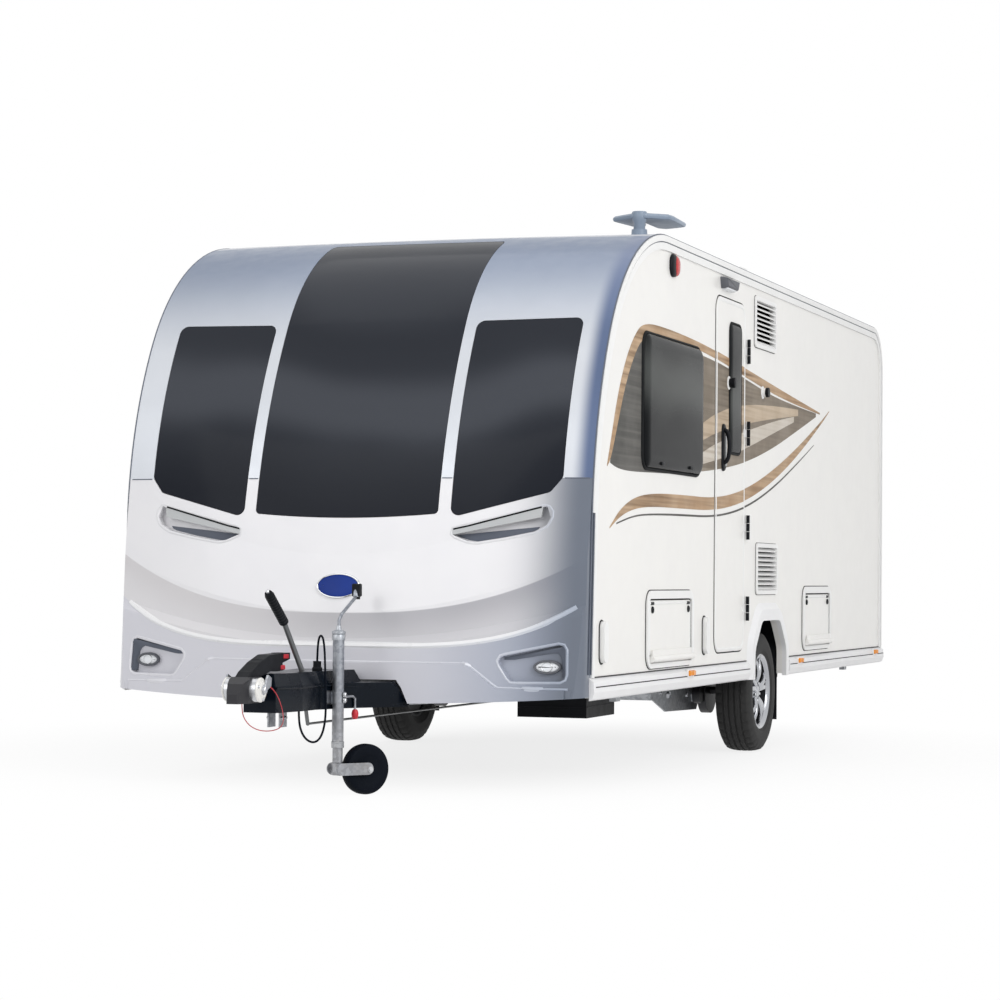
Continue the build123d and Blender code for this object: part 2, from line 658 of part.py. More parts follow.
def side_vents():
    """Louvre frames set into the entry-side wall."""
    vents = []
    for d0, d1, z0, z1 in VENTS:
        frame = side_slab(1, INNER, HALF, rounded(d0, d1, z0, z1, VENT_R))
        frame += side_slab(1, HALF, HALF + VENT_OUT, rounded(d0, d1, z0, z1, VENT_R, VENT_BORDER / 2))
        hole = rounded(d0, d1, z0, z1, VENT_R, -VENT_BORDER / 2)
        frame -= side_slab(1, INNER + FLAP_T, HALF + PAST, hole)
        step = (z1 - z0 - VENT_BORDER) / SLATS
        for k in range(SLATS):
            z = z0 + VENT_BORDER / 2 + step * (k + 0.5)
            slat = Box(WALL, d1 - d0 - VENT_BORDER, SLAT_T)
            place = Pos(HALF - WALL / 4, FRONT + (d0 + d1) / 2, z) * Rot(0, SLAT_LEAN, 0)
            frame += place * slat
        vents.append(frame)
    write("side_vents", vents)


def wheel_box(side, inset):
    x = both(HALF - BOX_IN + inset, INNER, side)
    low = SILL_Z - BOX_MARGIN
    d = (ARCH_FRONT - BOX_MARGIN + inset, ARCH_REAR + BOX_MARGIN - inset)
    return block(x, d, (low, WHEEL_BOX_TOP_Z - inset))


def floor_and_boxes():
    slab = block((-INNER, INNER), (FLOOR_START_D, BODY_LENGTH - WALL), (FLOOR_Z, FLOOR_TOP_Z))
    boxes = []
    for side in (1, -1):
        slab -= wheel_box(side, 0.0)
        boxes.append(wheel_box(side, 0.0) - wheel_box(side, BOX_T))
    write("floor", slab)
    write("wheel_boxes", boxes)


def skirts():
    section = Polygon(*[(a, z) for a, z in SKIRT], align=None)
    gap = ARCH_LIP + SKIRT_GAP
    spans = [(SKIRT_START_D, ARCH_FRONT - gap), (ARCH_REAR + gap, BODY_LENGTH)]
    runs = []
    for d0, d1 in spans:
        run = Pos(HALF, 0, 0) * front_prism(section, d0, d1)
        runs += [run, mirror(run, Plane.YZ)]
    write("side_skirts", runs)
    lip = extrude(side_plane(-HALF) * arch_outline(ARCH_LIP), ARCH_LIP_OUT, taper=ARCH_LIP_TAPER)
    lip -= side_slab(-1, HALF - PAST, HALF + PAST + ARCH_LIP_OUT, arch_outline(0.0))
    lip -= block((-HALF - PAST - ARCH_LIP_OUT, -HALF + PAST), (0, BODY_LENGTH), (0, SKIRT[-1][1]))
    write("wheel_arch_lips", [lip, mirror(lip, Plane.YZ)])


def awning_rails():
    """Two rings of trim that follow the edge of each side."""
    strips = []
    for number, (outer, inner, thick) in enumerate(RAILS):
        ring = side_outline(outer) - side_outline(inner)
        above = Pos(FRONT + BODY_LENGTH / 2, RAIL_FOOT_Z + ROOF_Z / 2) * Rectangle(2 * BODY_LENGTH, ROOF_Z)
        ring = ring & above
        if number == 0:
            lap = (FRONT, (RAIL_FOOT_Z + RAIL_LAP_Z) / 2)
            ring -= Pos(*lap) * Rectangle(BODY_LENGTH, RAIL_LAP_Z - RAIL_FOOT_Z + 1)
        strips += [side_slab(side, HALF, HALF + thick, ring) for side in (1, -1)]
    write("awning_rails", strips)


# ---------------------------------------------------------------- doors and lockers
def entry_door():
    inner_x = INNER - SEAL_GAP
    face_x = HALF + DOOR_PROUD
    leaf = side_slab(1, inner_x, face_x, rounded(DOOR_FRONT, DOOR_REAR, *DOOR_Z, DOOR_R))
    ahead, behind, z0, z1 = DOOR_WINDOW
    glass = rounded(DOOR_REAR - ahead, DOOR_REAR - behind, z0, z1, DOOR_WINDOW_R)
    write("entry_door", leaf - side_slab(1, inner_x - PAST, face_x + PAST, glass))
    write("door_window", side_slab(1, HALF - PANE, face_x, glass))
    handle_d = (DOOR_FRONT + 105.0, DOOR_FRONT + 175.0)
    plate = side_slab(1, face_x, face_x + 10.0, rounded(*handle_d, 1440.0, 1675.0, 34.0))
    pull = block((face_x, face_x + 40.0), (handle_d[0] + 12, handle_d[0] + 34), (1485.0, 1640.0))
    pull -= block((face_x, face_x + 28.0), (handle_d[0], handle_d[1]), (1505.0, 1620.0))
    knob_d = DOOR_HINGE_D - CATCH_REACH
    knob = rod((face_x, knob_d, CATCH_Z), (face_x + CATCH_OUT, knob_d, CATCH_Z), CATCH_R)
    write("door_handle_and_knob", [plate + pull, knob])
    hinges()


def hinges():
    """Straps on the door leaf, and plates with a catch knob on the wall."""
    axis_x = HALF + HINGE_OUT
    straps = []
    plates = []
    for z in HINGE_ZS:
        low = z - HINGE_SPAN / 2
        strap_x = (HALF + DOOR_PROUD, HALF + DOOR_PROUD + CHEEK_T)
        strap = block(strap_x, (DOOR_REAR - 35, DOOR_HINGE_D), (low, low + HINGE_SPAN))
        straps.append(strap + peg(axis_x, DOOR_HINGE_D, low, HINGE_R, HINGE_SPAN))
        for foot in (low - HINGE_SPAN - 2, low + HINGE_SPAN + 2):
            plate = block((HALF, axis_x), (DOOR_HINGE_D, DOOR_HINGE_D + 30), (foot, foot + HINGE_SPAN))
            plates.append(plate + peg(axis_x, DOOR_HINGE_D, foot, HINGE_R, HINGE_SPAN))
    catch_d = DOOR_HINGE_D + CATCH_REACH
    plates.append(rod((HALF, catch_d, CATCH_Z), (HALF + CATCH_OUT, catch_d, CATCH_Z), CATCH_R))
    write("door_hinge_straps", straps)
    write("door_wall_fittings", plates)


def locker_doors():
    """Leaves with a full-width hinge roll, and the frames round them."""
    frames = []
    for name, d0, d1, z0, z1, side in LOCKERS:
        leaf = side_slab(side, INNER, HALF + DOOR_PROUD, rounded(d0, d1, z0, z1, LOCKER_R))
        axis = (side * (HALF + ROLL_OUT), z0 - ROLL_DROP)
        roll = rod((axis[0], d0, axis[1]), (axis[0], d1, axis[1]), ROLL_R)
        strap_x = both(HALF + DOOR_PROUD, HALF + ROLL_OUT, side)
        strap = block(strap_x, (d0 + LOCKER_R, d1 - LOCKER_R), (axis[1], z0 + PAST))
        write(name, leaf + roll + strap)
        foot = ROLL_DROP + ROLL_R + SEAL_GAP
        hole = rounded(d0 - LOCKER_GAP, d1 + LOCKER_GAP, z0 - foot, z1 + LOCKER_GAP, LOCKER_R)
        rim = rounded(d0, d1, z0 - foot + FRAME_W / 2, z1, LOCKER_R, FRAME_W)
        frames.append(side_slab(side, HALF, HALF + FRAME_OUT, rim - hole))
    write("locker_frames", frames)


def pads_and_rear_grips():
    """Upright side pads and the grip bars on the rear corners."""
    pieces = []
    for d in PADS:
        pieces.append(side_slab(1, HALF, HALF + 24.0, rounded(d, d + 62.0, 545.0, 722.0, 30.0)))
    rear = BODY_LENGTH
    for side in (1, -1):
        x = both(HALF - 300.0, HALF - 270.0, side)
        bar = block(x, (rear, rear + 45.0), (950.0, 1200.0))
        pieces.append(bar - block(x, (rear, rear + 28.0), (975.0, 1175.0)))
    write("pads_and_grips", pieces)


# ---------------------------------------------------------------- chassis
def channel(length):
    """Channel section along +Y from the origin, open towards -X, top at z = 0."""
    web = Pos(RAIL_W / 2 - RAIL_T / 2, length / 2, -RAIL_H / 2) * Box(RAIL_T, length, RAIL_H)
    flange = Box(RAIL_W, length, RAIL_T)
    top = Pos(0, length / 2, -RAIL_T / 2) * flange
    bottom = Pos(0, length / 2, RAIL_T / 2 - RAIL_H) * flange
    return web + top + bottom


def chassis_frame():
    left = Pos(RAIL_X, FRONT + DRAW_END_D, FLOOR_Z) * channel(RAIL_END_D - DRAW_END_D)
    frame = left + mirror(left, Plane.YZ)
    x = RAIL_X - RAIL_W / 2 + RAIL_T
    for d in CROSS_DS:
        frame += block((-x, x), (d - CROSS_W / 2, d + CROSS_W / 2), (RAIL_BOTTOM_Z + CROSS_UP, FLOOR_Z))
    write("chassis_frame", frame)


def drawbar_line(d):
    """Centre x of the left drawbar rail at a distance, and the rail's angle."""
    slope = (RAIL_X - DRAW_START_X) / (DRAW_END_D - DRAW_START_D)
    return DRAW_START_X + (d - DRAW_START_D) * slope, degrees(asin(slope / (1 + slope ** 2) ** 0.5))


def drawbar_rails():
    _, angle = drawbar_line(0.0)
    length = (DRAW_END_D - DRAW_START_D) / cos(radians(angle))
    place = Pos(DRAW_START_X, FRONT + DRAW_START_D, FLOOR_Z) * Rot(0, 0, -angle)
    left = place * channel(length - 15)
    write("drawbar_rails", [left, mirror(left, Plane.YZ)])


def axle():
    tube_d = AXLE_D - ARM_LENGTH
    hexagon = Pos(FRONT + tube_d, TUBE_Z) * RegularPolygon(AXLE_TUBE / 2, 6)
    beam = side_prism(hexagon, -RAIL_X - TUBE_OUT, RAIL_X + TUBE_OUT)
    plate_x = RAIL_X + RAIL_W / 2
    outline = side_polygon(AXLE_PLATE, AXLE_D)
    outline -= Pos(FRONT + AXLE_D + PLATE_HOLE_D, 312.0) * SlotOverall(*PLATE_HOLE)
    arms = []
    for side in (1, -1):
        beam += side_slab(side, plate_x, plate_x + PLATE_T, outline)
        arm_x = RAIL_X + TUBE_OUT
        start = Pos(FRONT + tube_d, TUBE_Z) * Circle(48)
        end = Pos(FRONT + AXLE_D, TYRE_R) * Circle(35)
        arm = side_slab(side, arm_x, arm_x + 40, make_hull(start.edges() + end.edges()))
        arm += rod((side * arm_x, AXLE_D, TYRE_R), (side * (TYRE_OUT_X - 90), AXLE_D, TYRE_R), STUB_R)
        arm += rod((side * arm_x, AXLE_D, TYRE_R), (side * (arm_x + 46), AXLE_D, TYRE_R), DRUM_R)
        arms.append(arm)
    write("axle_beam", beam)
    write("suspension_arms", arms)


def tyre_profile():
    """Tyre section in (radius, width)."""
    w = TYRE_W / 2
    bulge = (RIM_R + TYRE_R) / 2
    outer = [Line((RIM_SEAT_R, w - 25), (RIM_R + 5, w - 12))]
    outer += [ThreePointArc((RIM_R + 5, w - 12), (bulge, w), (TYRE_R - 22, w - 12))]
    outer += [Line((TYRE_R - 22, w - 12), (TYRE_R, w - 30)), Line((TYRE_R, w - 30), (TYRE_R, 0))]
    outer += [Line((RIM_SEAT_R, 0), (RIM_SEAT_R, w - 25))]
    half = make_face(outer + [Line((TYRE_R, 0), (RIM_SEAT_R, 0))])
    return half + mirror(half, Plane.XZ)


def road_wheel(name, side):
    """Tyre, and alloy rim with its brake drum, turning on the stub axle."""
    mid_x = side * (TYRE_OUT_X - TYRE_W / 2)
    centre = Pos(mid_x, FRONT + AXLE_D, TYRE_R) * Rot(0, 90 * side, 0)
    write(f"{name}_tyre", centre * revolve(Plane.XZ * tyre_profile(), Axis.Z))
    seat = RIM_SEAT_R
    bore = STUB_R + STUB_CLEAR
    barrel = Cylinder(seat, TYRE_W - 50) - Cylinder(seat - 11, TYRE_W)
    rim = barrel + Pos(0, 0, 44) * Cylinder(HUB_R, 34) + Pos(0, 0, -5) * Cylinder(DRUM_R - 30, 80)
    rim += Pos(0, 0, -24) * Cylinder(DRUM_R, 70)
    for k in range(2 * SPOKE_PAIRS):
        turn = 360 / SPOKE_PAIRS * (k // 2) + SPOKE_SPREAD * (2 * (k % 2) - 1)
        spoke = Pos((HUB_R + seat) / 2 - 6, 0, 52) * Box(seat - HUB_R + 6, 24, 24)
        rim += Rot(0, 0, turn) * spoke
    write(f"{name}_rim", centre * (rim - Cylinder(bore, 300)))


def underfloor():
    """Black box between the rails and the flaps behind the road wheels."""
    flap_d = (ARCH_REAR + BOX_MARGIN, ARCH_REAR + BOX_MARGIN + FLAP_T)
    flaps = [block(both(HALF - 180, INNER - 4, side), flap_d, (150.0, FLOOR_Z - 5)) for side in (1, -1)]
    write("underfloor_fittings", [block(*TANK)] + flaps)


# ---------------------------------------------------------------- drawbar
def coupling():
    half = HEAD_W / 2
    plan = [(24.0, -115.0), (half, -50.0), (half, 90.0)]
    face = mirrored_plan([(x, COUPLING_D + d) for x, d in plan], 0.0)
    head = extrude(Plane.XY.offset(HEAD_Z[0]) * fillet(face.vertices(), HEAD_R), HEAD_Z[1] - HEAD_Z[0])
    head = head & side_prism(side_polygon(HEAD_SIDE, COUPLING_D), -half, half)
    head -= peg(0, COUPLING_D, HEAD_Z[0], BALL_SOCKET_R, BALL_SOCKET_DEPTH)
    lug_d = (COUPLING_D + 61, COUPLING_D + 76)
    write("coupling_head", head + block((half, half + 22), lug_d, (468, 484)))
    discs = []
    for side in (1, -1):
        x = both(half, half + DISC_T, side)
        discs.append(rod((x[0], COUPLING_D, COUPLING_Z), (x[1], COUPLING_D, COUPLING_Z), DISC_R))
    write("friction_discs", discs)
    lever = side_prism(side_polygon(HANDLE, COUPLING_D), -HANDLE_W / 2, HANDLE_W / 2)
    write("stabiliser_handle", lever)


def overrun_housing():
    """Overrun shaft and housing, with its bracket and the cable gland."""
    half = HOUSING_W / 2
    housing = block((-half, half), HOUSING_D, HOUSING_Z)
    housing += rod((0, HEAD_D[1], COUPLING_Z), (0, HOUSING_D[0] + 1, COUPLING_Z), SHAFT_R)
    for side in (1, -1):
        housing += block(both(22, 28, side), (COUPLING_D + 290, COUPLING_D + 360), (292, HOUSING_Z[0]))
    start = LEAD[0]
    housing += block((half, start[0] + 12), (start[1] - 14, start[1] + 14), (start[2], start[2] + 28))
    write("overrun_housing", housing)


def handbrake():
    """Hand lever with its grip and lower arm, and the rod that runs back to the axle."""
    lever = bent_rod([BRAKE_PIVOT, BRAKE_BEND, BRAKE_GRIP], 11)
    lever += rod((HOUSING_W / 2, *BRAKE_PIVOT[1:]), (BRAKE_X + 12, *BRAKE_PIVOT[1:]), 14)
    lever += rod(BRAKE_GRIP, BRAKE_TIP, 17)
    lever += bent_rod([BRAKE_PIVOT, ROD_HEAD], 8)
    tail = (0, AXLE_D - ARM_LENGTH - AXLE_TUBE / 2, TUBE_Z - 10)
    lever += rod(ROD_HEAD, tail, ROD_R) + Pos(ROD_HEAD[0], FRONT + ROD_HEAD[1], ROD_HEAD[2]) * Sphere(8)
    write("handbrake_and_rod", lever)


def mirrored_plan(half_points, margin):
    right = [(x - margin, FRONT + d) for x, d in half_points]
    return Polygon(*(right + [(-x, y) for x, y in reversed(right)]), align=None)


def cover_form(margin):
    """Solid form of the drawbar cover, made smaller by a margin."""
    low, deck, top = COVER_Z
    drop = 2 * margin
    right = [(x - margin, z - margin) for x, z in COVER_SECTION]
    right = [(right[0][0], low - drop)] + right
    section = Polygon(*(right + [(-x, z) for x, z in reversed(right)]), align=None)
    foot = mirrored_plan(COVER_FOOT, margin)
    form = extrude(Plane.XY.offset(low - drop) * foot, deck - margin - low + drop)
    form = form & front_prism(section, -NOSE_REACH, COVER_REAR_D)
    tray = mirrored_plan(COVER_TRAY, margin)
    return form + extrude(Plane.XY.offset(deck - margin) * tray, top - deck, taper=COVER_TAPER)


def drawbar_cover():
    """Moulded cover over the drawbar, open below and behind."""
    back = block((-HALF, HALF), (COVER_REAR_D - COVER_T, COVER_REAR_D), (0, COVER_Z[1] - COVER_T))
    nose = COVER_FOOT[0]
    inside = cover_form(COVER_T)
    inside -= block((-HALF, HALF), (nose[1] - PAST, nose[1] + COVER_T), (0, ROOF_Z))
    cover = cover_form(0.0) - inside - (back & inside)
    cover -= rod((0, nose[1] - PAST, COUPLING_Z), (0, HOUSING_D[0], COUPLING_Z), SHAFT_R + 4)
    slot_d = (BRAKE_PIVOT[1] - 70, BRAKE_PIVOT[1] + 20)
    cover -= block((BRAKE_X - 15, BRAKE_X + 15), slot_d, (COVER_Z[1], COVER_Z[2] + PAST))
    notch_d = (JOCKEY_D - 40, JOCKEY_D + 40)
    cover -= block((JOCKEY_X - 55, JOCKEY_X), notch_d, (CLAMP_Z[0] - 6, CLAMP_Z[1] + 6))
    write("drawbar_cover", cover)


def jockey_tubes():
    axis = (JOCKEY_X, JOCKEY_D)
    height = JOCKEY_TOP_Z - JOCKEY_LOW_Z
    outer = peg(*axis, JOCKEY_LOW_Z, JOCKEY_TUBE_R, height)
    outer -= peg(*axis, JOCKEY_LOW_Z - 12, JOCKEY_BORE_R, height)
    crank = [(*axis, JOCKEY_TOP_Z - 10)] + [(axis[0] - a, axis[1] + b, z) for a, b, z in CRANK]
    outer += bent_rod(crank[:-1], CRANK_R) + rod(crank[-2], crank[-1], 2 * CRANK_R)
    write("jockey_outer_tube", outer)
    low, top = JOCKEY_INNER_Z
    write("jockey_inner_tube", peg(*axis, low, JOCKEY_INNER_R, top - low))
    high = CLAMP_Z[1] - CLAMP_Z[0]
    clamp = peg(*axis, CLAMP_Z[0], JOCKEY_TUBE_R + 8, high)
    rail_x, angle = drawbar_line(JOCKEY_D)
    plate = Pos(rail_x, FRONT + JOCKEY_D, CLAMP_Z[0] + high / 2) * Rot(0, 0, -angle)
    clamp += plate * Pos(RAIL_W / 2 + 5, 0, 0) * Box(10, 60, high)
    clamp -= peg(*axis, CLAMP_Z[0] - PAST, JOCKEY_TUBE_R, high + 2 * PAST)
    bend = [(24, 14, 406), (40, 62, 408), (40, 86, 398), (40, 88, 345), (40, 88, 318)]
    bend = [(axis[0] + a, axis[1] + b, z) for a, b, z in bend]
    lever = bent_rod(bend[:-1], 5) + rod(bend[-2], bend[-1], 9)
    write("jockey_clamp", clamp + (lever - peg(*axis, CLAMP_Z[0], JOCKEY_TUBE_R, high)))


def jockey_wheel():
    """Castor fork turned to one side, and its wheel."""
    turn = Pos(JOCKEY_X, FRONT + JOCKEY_D, 0) * Rot(0, 0, JOCKEY_TURN)
    gap = JOCKEY_WHEEL_W / 2 + FORK_GAP
    mid = (FORK_Z[0] + FORK_Z[1]) / 2
    high = FORK_Z[1] - FORK_Z[0]
    fork = Pos(0, 0, mid) * Cylinder(JOCKEY_INNER_R, high)
    fork += Pos(0, 0, mid) * Box(2 * gap, 2 * JOCKEY_INNER_R * 0.6, high)
    for side in (1, -1):
        arm = Pos(JOCKEY_TRAIL / 2 - 6, mid) * SlotOverall(JOCKEY_TRAIL + 40, high)
        fork += side_slab(side, gap, gap + FORK_T, arm)
    hub = Pos(0, JOCKEY_TRAIL, JOCKEY_WHEEL_R) * Rot(0, 90, 0)
    fork += hub * Cylinder(8, 2 * (gap + FORK_T + 4))
    wheel = fillet(Cylinder(JOCKEY_WHEEL_R, JOCKEY_WHEEL_W).edges().filter_by(GeomType.CIRCLE), 12)
    wheel -= Cylinder(8.05, 2 * JOCKEY_WHEEL_W)
    write("jockey_fork", turn * fork)
    write("jockey_wheel", turn * hub * wheel)


# ---------------------------------------------------------------- cables
def cable(points, dia):
    """Round cable along straight runs joined by tangent arcs."""
    route = [Vector(x, FRONT + d, z) for x, d, z in points]
    radii = []
    for a, b, c in zip(route, route[1:], route[2:]):
        turn = (b - a).get_angle(c - b)
        shorter = min((b - a).length, (c - b).length)
        radii.append(BEND_SHARE * shorter / tan(radians(turn / 2)))
    print("cable radii", [round(r) for r in radii], "in diameters from", round(min(radii) / dia, 1))
    path = FilletPolyline(*route, radius=radii)
    tube = sweep(Plane(origin=path @ 0, z_dir=path % 0) * Circle(dia / 2), path)
    drift = tube.volume / (Circle(dia / 2).area * path.length) - 1
    print(f"cable length {path.length:.0f} mm, volume off by {100 * drift:.3f} %")
    return tube


def cables():
    write("breakaway_cable", cable(BREAKAWAY, BREAKAWAY_DIA))
    write("electrical_cable", cable(LEAD, LEAD_DIA))
    end = LEAD[-1]
    foot = COVER_Z[2] - COVER_T / 4
    write("cable_plug", peg(end[0], end[1], foot, PLUG_R, end[2] - foot))


# ---------------------------------------------------------------- steadies, roof and lamps
def steadies():
    mounts = []
    for name, side, pivot_d, way in STEADIES:
        x = side * STEADY_X
        end_d = pivot_d + way * STEADY_LENGTH
        half = STEADY_W / 2
        leg_z = (STEADY_Z - STEADY_H / 2, STEADY_Z + STEADY_H / 2)
        leg = block((x - half, x + half), sorted((pivot_d, end_d)), leg_z)
        leg += rod((x - half, pivot_d, STEADY_Z), (x + half, pivot_d, STEADY_Z), STEADY_H / 2)
        foot = block((x - 40, x + 40), sorted((end_d, end_d + way * 25)), (STEADY_Z - 35, STEADY_Z + 25))
        write(f"steady_leg_{name}", leg + foot)
        for cheek in (1, -1):
            near = half + CHEEK_GAP
            xs = sorted((x + cheek * near, x + cheek * (near + CHEEK_T)))
            mounts.append(block(xs, (pivot_d - 25, pivot_d + 25), (STEADY_Z - 20, FLOOR_Z)))
        out = x + side * 100
        guide = block((out - 15, out + 15), (pivot_d + 330, pivot_d + 400), (346, 376))
        mounts.append(guide + block((out - 4, out + 4), (pivot_d + 340, pivot_d + 360), (376, FLOOR_Z)))
    write("steady_brackets", mounts)


def roof_fittings():
    x, d = AERIAL_HUB
    aerial = peg(x, d, ROOF_Z, AERIAL_HUB_R, AERIAL_TOP_Z - ROOF_Z)
    hub = Pos(x, FRONT + d) * Circle(AERIAL_HUB_R - 4)
    for rounds in AERIAL_WINGS:
        edges = hub.edges()
        for tip_x, tip_d, radius in rounds:
            edges += (Pos(tip_x, FRONT + tip_d) * Circle(radius)).edges()
        aerial += extrude(Plane.XY.offset(WING_Z) * make_hull(edges), WING_T, dir=(0, 0, 1))
    write("roof_fittings", [aerial, block(*ROOF_VENT)])


def lamps():
    out = HALF + SKIRT[1][0]
    deep, long, high = MARKER_SIZE
    z = (MARKER_Z - high / 2, MARKER_Z + high / 2)
    amber = []
    for side in (1, -1):
        for d in MARKERS:
            amber.append(block(both(out + 4, out + 4 + deep, side), (d, d + long), z))
    write("side_marker_lamps", amber)
    upper = []
    for side in (1, -1):
        lens = side_slab(side, HALF, HALF + CORNER_LAMP_OUT, rounded(*CORNER_LAMP_D, *CORNER_LAMP_Z, 52.0))
        face = lens.faces().sort_by(Axis.X)[-1 if side > 0 else 0]
        upper.append(fillet(face.edges(), 30))
    lamp_d = (DOOR_FRONT + 80, DOOR_FRONT + 340)
    upper.append(block((HALF, HALF + 40), lamp_d, DOOR_LAMP_Z))
    write("upper_lamps", upper)
    rear = []
    for side in (1, -1):
        x = both(HALF - 230, HALF - 110, side)
        rear.append(block(x, (BODY_LENGTH, BODY_LENGTH + REAR_LAMP_OUT), REAR_LAMP_Z))
    rear.append(block((-160, 160), (BODY_LENGTH, BODY_LENGTH + REAR_LAMP_OUT), (2120, 2150)))
    write("rear_lamps", rear)


def build():
    os.makedirs("parts", exist_ok=True)
    front_panels()
    roof_and_rear()
    side_walls()
    side_windows()
    side_vents()
    floor_and_boxes()
    skirts()
    awning_rails()
    entry_door()
    locker_doors()
    pads_and_rear_grips()
    chassis_frame()
    drawbar_rails()
    axle()
    road_wheel("road_wheel_left", 1)
    road_wheel("road_wheel_right", -1)
    underfloor()
    coupling()
    overrun_housing()
    handbrake()
    drawbar_cover()
    jockey_tubes()
    jockey_wheel()
    cables()
    steadies()
    roof_fittings()
    lamps()
    write("cabin_furniture", [block(*row) for row in FURNITURE])


build()
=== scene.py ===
"""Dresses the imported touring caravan: finishes, trim, wheels, lamps, graphics and cables.

All lengths are metres in the CAD frame: +Z up, -Y towards the tow coupling, +X the entry side,
but for those named as millimetres: a distance "d" runs back from the body's front reference
line, and a box on a side wall is (front d, rear d, bottom z, top z).
"""

import json
import logging
import math
from dataclasses import dataclass, field
from enum import Enum
from typing import Optional, Sequence

import bpy
import numpy as np
from mathutils import Matrix, Vector

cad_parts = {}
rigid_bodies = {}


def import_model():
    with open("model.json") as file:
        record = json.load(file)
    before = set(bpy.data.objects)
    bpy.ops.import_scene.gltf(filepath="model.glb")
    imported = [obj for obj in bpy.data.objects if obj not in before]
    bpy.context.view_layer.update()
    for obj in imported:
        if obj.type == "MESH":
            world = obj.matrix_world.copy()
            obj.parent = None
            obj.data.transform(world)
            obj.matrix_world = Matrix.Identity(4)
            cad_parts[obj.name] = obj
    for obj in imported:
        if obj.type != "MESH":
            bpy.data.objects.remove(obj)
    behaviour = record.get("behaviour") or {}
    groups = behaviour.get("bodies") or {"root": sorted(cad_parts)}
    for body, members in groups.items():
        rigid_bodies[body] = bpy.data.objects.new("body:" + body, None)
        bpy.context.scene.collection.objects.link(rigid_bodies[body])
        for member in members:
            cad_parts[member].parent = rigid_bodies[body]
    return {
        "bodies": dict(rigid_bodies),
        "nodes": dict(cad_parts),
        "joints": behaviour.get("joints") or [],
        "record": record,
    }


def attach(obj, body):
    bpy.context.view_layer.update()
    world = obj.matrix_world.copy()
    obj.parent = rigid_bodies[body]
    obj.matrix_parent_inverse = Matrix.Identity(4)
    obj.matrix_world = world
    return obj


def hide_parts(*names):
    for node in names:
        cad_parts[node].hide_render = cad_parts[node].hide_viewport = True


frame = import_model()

LOG = logging.getLogger("caravan")
NODES = frame["nodes"]

Vec3 = tuple[float, float, float]
Color = tuple[float, float, float]
Box = tuple[float, float, float, float]
Rows = Sequence[tuple[float, float]]
Socket = bpy.types.NodeSocket
Tree = bpy.types.NodeTree

FRONT_Y = -2.53  # the front reference line
HALF = 1.08  # half the body's width
# Distances from the front reference line, in millimetres.
BODY_D = 6240.0
AXLE_D = 3210.0
MAST_D = 1300.0
DOOR_D = (2100.0, 2685.0)
JOCKEY_D = -445.0
UNDER = -0.002  # how far a fitting's foot reaches into the face that it stands on


# ------------------------------ surfaces as arrays
@dataclass
class Surf:
    """A mesh as arrays: points, four-sided faces and many-sided caps."""

    verts: np.ndarray
    quads: np.ndarray = field(default_factory=lambda: np.zeros((0, 4), int))
    caps: list[list[int]] = field(default_factory=list)

    def moved(self, matrix: np.ndarray, shift: Sequence[float] = (0, 0, 0)) -> "Surf":
        """The surface with every point turned by a 3 by 3 matrix, then shifted."""
        verts = self.verts @ np.asarray(matrix, float).T + np.asarray(shift, float)
        return Surf(verts, self.quads, self.caps)

    def at(self, x: float, y: float, z: float) -> "Surf":
        """The surface shifted."""
        return self.moved(np.eye(3), (x, y, z))

    def flipped(self) -> "Surf":
        """The surface with its faces turned over."""
        return Surf(self.verts, self.quads[:, ::-1], [cap[::-1] for cap in self.caps])


def joined(parts: Sequence[Surf]) -> Surf:
    """Several surfaces as one, each one's face numbers shifted past the points before it.

    Args:
        parts: The surfaces to join.

    Returns:
        One surface.
    """
    starts = np.cumsum([0] + [len(part.verts) for part in parts])
    verts = np.concatenate([part.verts for part in parts])
    quads = np.concatenate([part.quads + at for part, at in zip(parts, starts)])
    caps = [[int(i + at) for i in cap] for part, at in zip(parts, starts) for cap in part.caps]
    return Surf(verts, quads, caps)


def grid(points: np.ndarray, wrap_u: bool = False, wrap_v: bool = False, capped: bool = False) -> Surf:
    """A surface through a grid of points.

    Face (i, j) joins points (i, j), (i, j+1), (i+1, j+1), (i+1, j), and a wrapped direction
    counts its indices round its length.

    Args:
        points: Array of shape (rows, columns, 3).
        wrap_u: Whether the last row joins the first.
        wrap_v: Whether the last column joins the first.
        capped: Whether the first and last rows are closed with caps.

    Returns:
        The surface.
    """
    rows, cols = points.shape[:2]
    i, j = np.meshgrid(np.arange(rows - (not wrap_u)), np.arange(cols - (not wrap_v)), indexing="ij")
    i2, j2 = (i + 1) % rows, (j + 1) % cols
    quads = np.stack([i * cols + j, i * cols + j2, i2 * cols + j2, i2 * cols + j], axis=-1)
    last = (rows - 1) * cols
    caps = [list(range(cols))[::-1], list(range(last, last + cols))] if capped else []
    return Surf(points.reshape(-1, 3), quads.reshape(-1, 4), caps)


def frames_along(path: np.ndarray, closed: bool = False) -> tuple[np.ndarray, np.ndarray]:
    """Side and up directions at each point of a path.

    The side is the tangent crossed with the direction least like the whole path, so a flat
    path keeps one up direction all along.

    Args:
        path: Points of shape (count, 3).
        closed: Whether the path is a loop.

    Returns:
        The side and the up direction of each point.
    """
    ahead = np.roll(path, -1, 0) - np.roll(path, 1, 0)
    if not closed:
        ahead[0], ahead[-1] = path[1] - path[0], path[-1] - path[-2]
    ahead /= np.linalg.norm(ahead, axis=1, keepdims=True)
    spread = np.linalg.svd(path - path.mean(0), full_matrices=True)[2]
    up = spread[2] * np.sign(spread[2][np.argmax(np.abs(spread[2]))])
    side = np.cross(ahead, up)
    side /= np.linalg.norm(side, axis=1, keepdims=True)
    return side, np.cross(side, ahead)


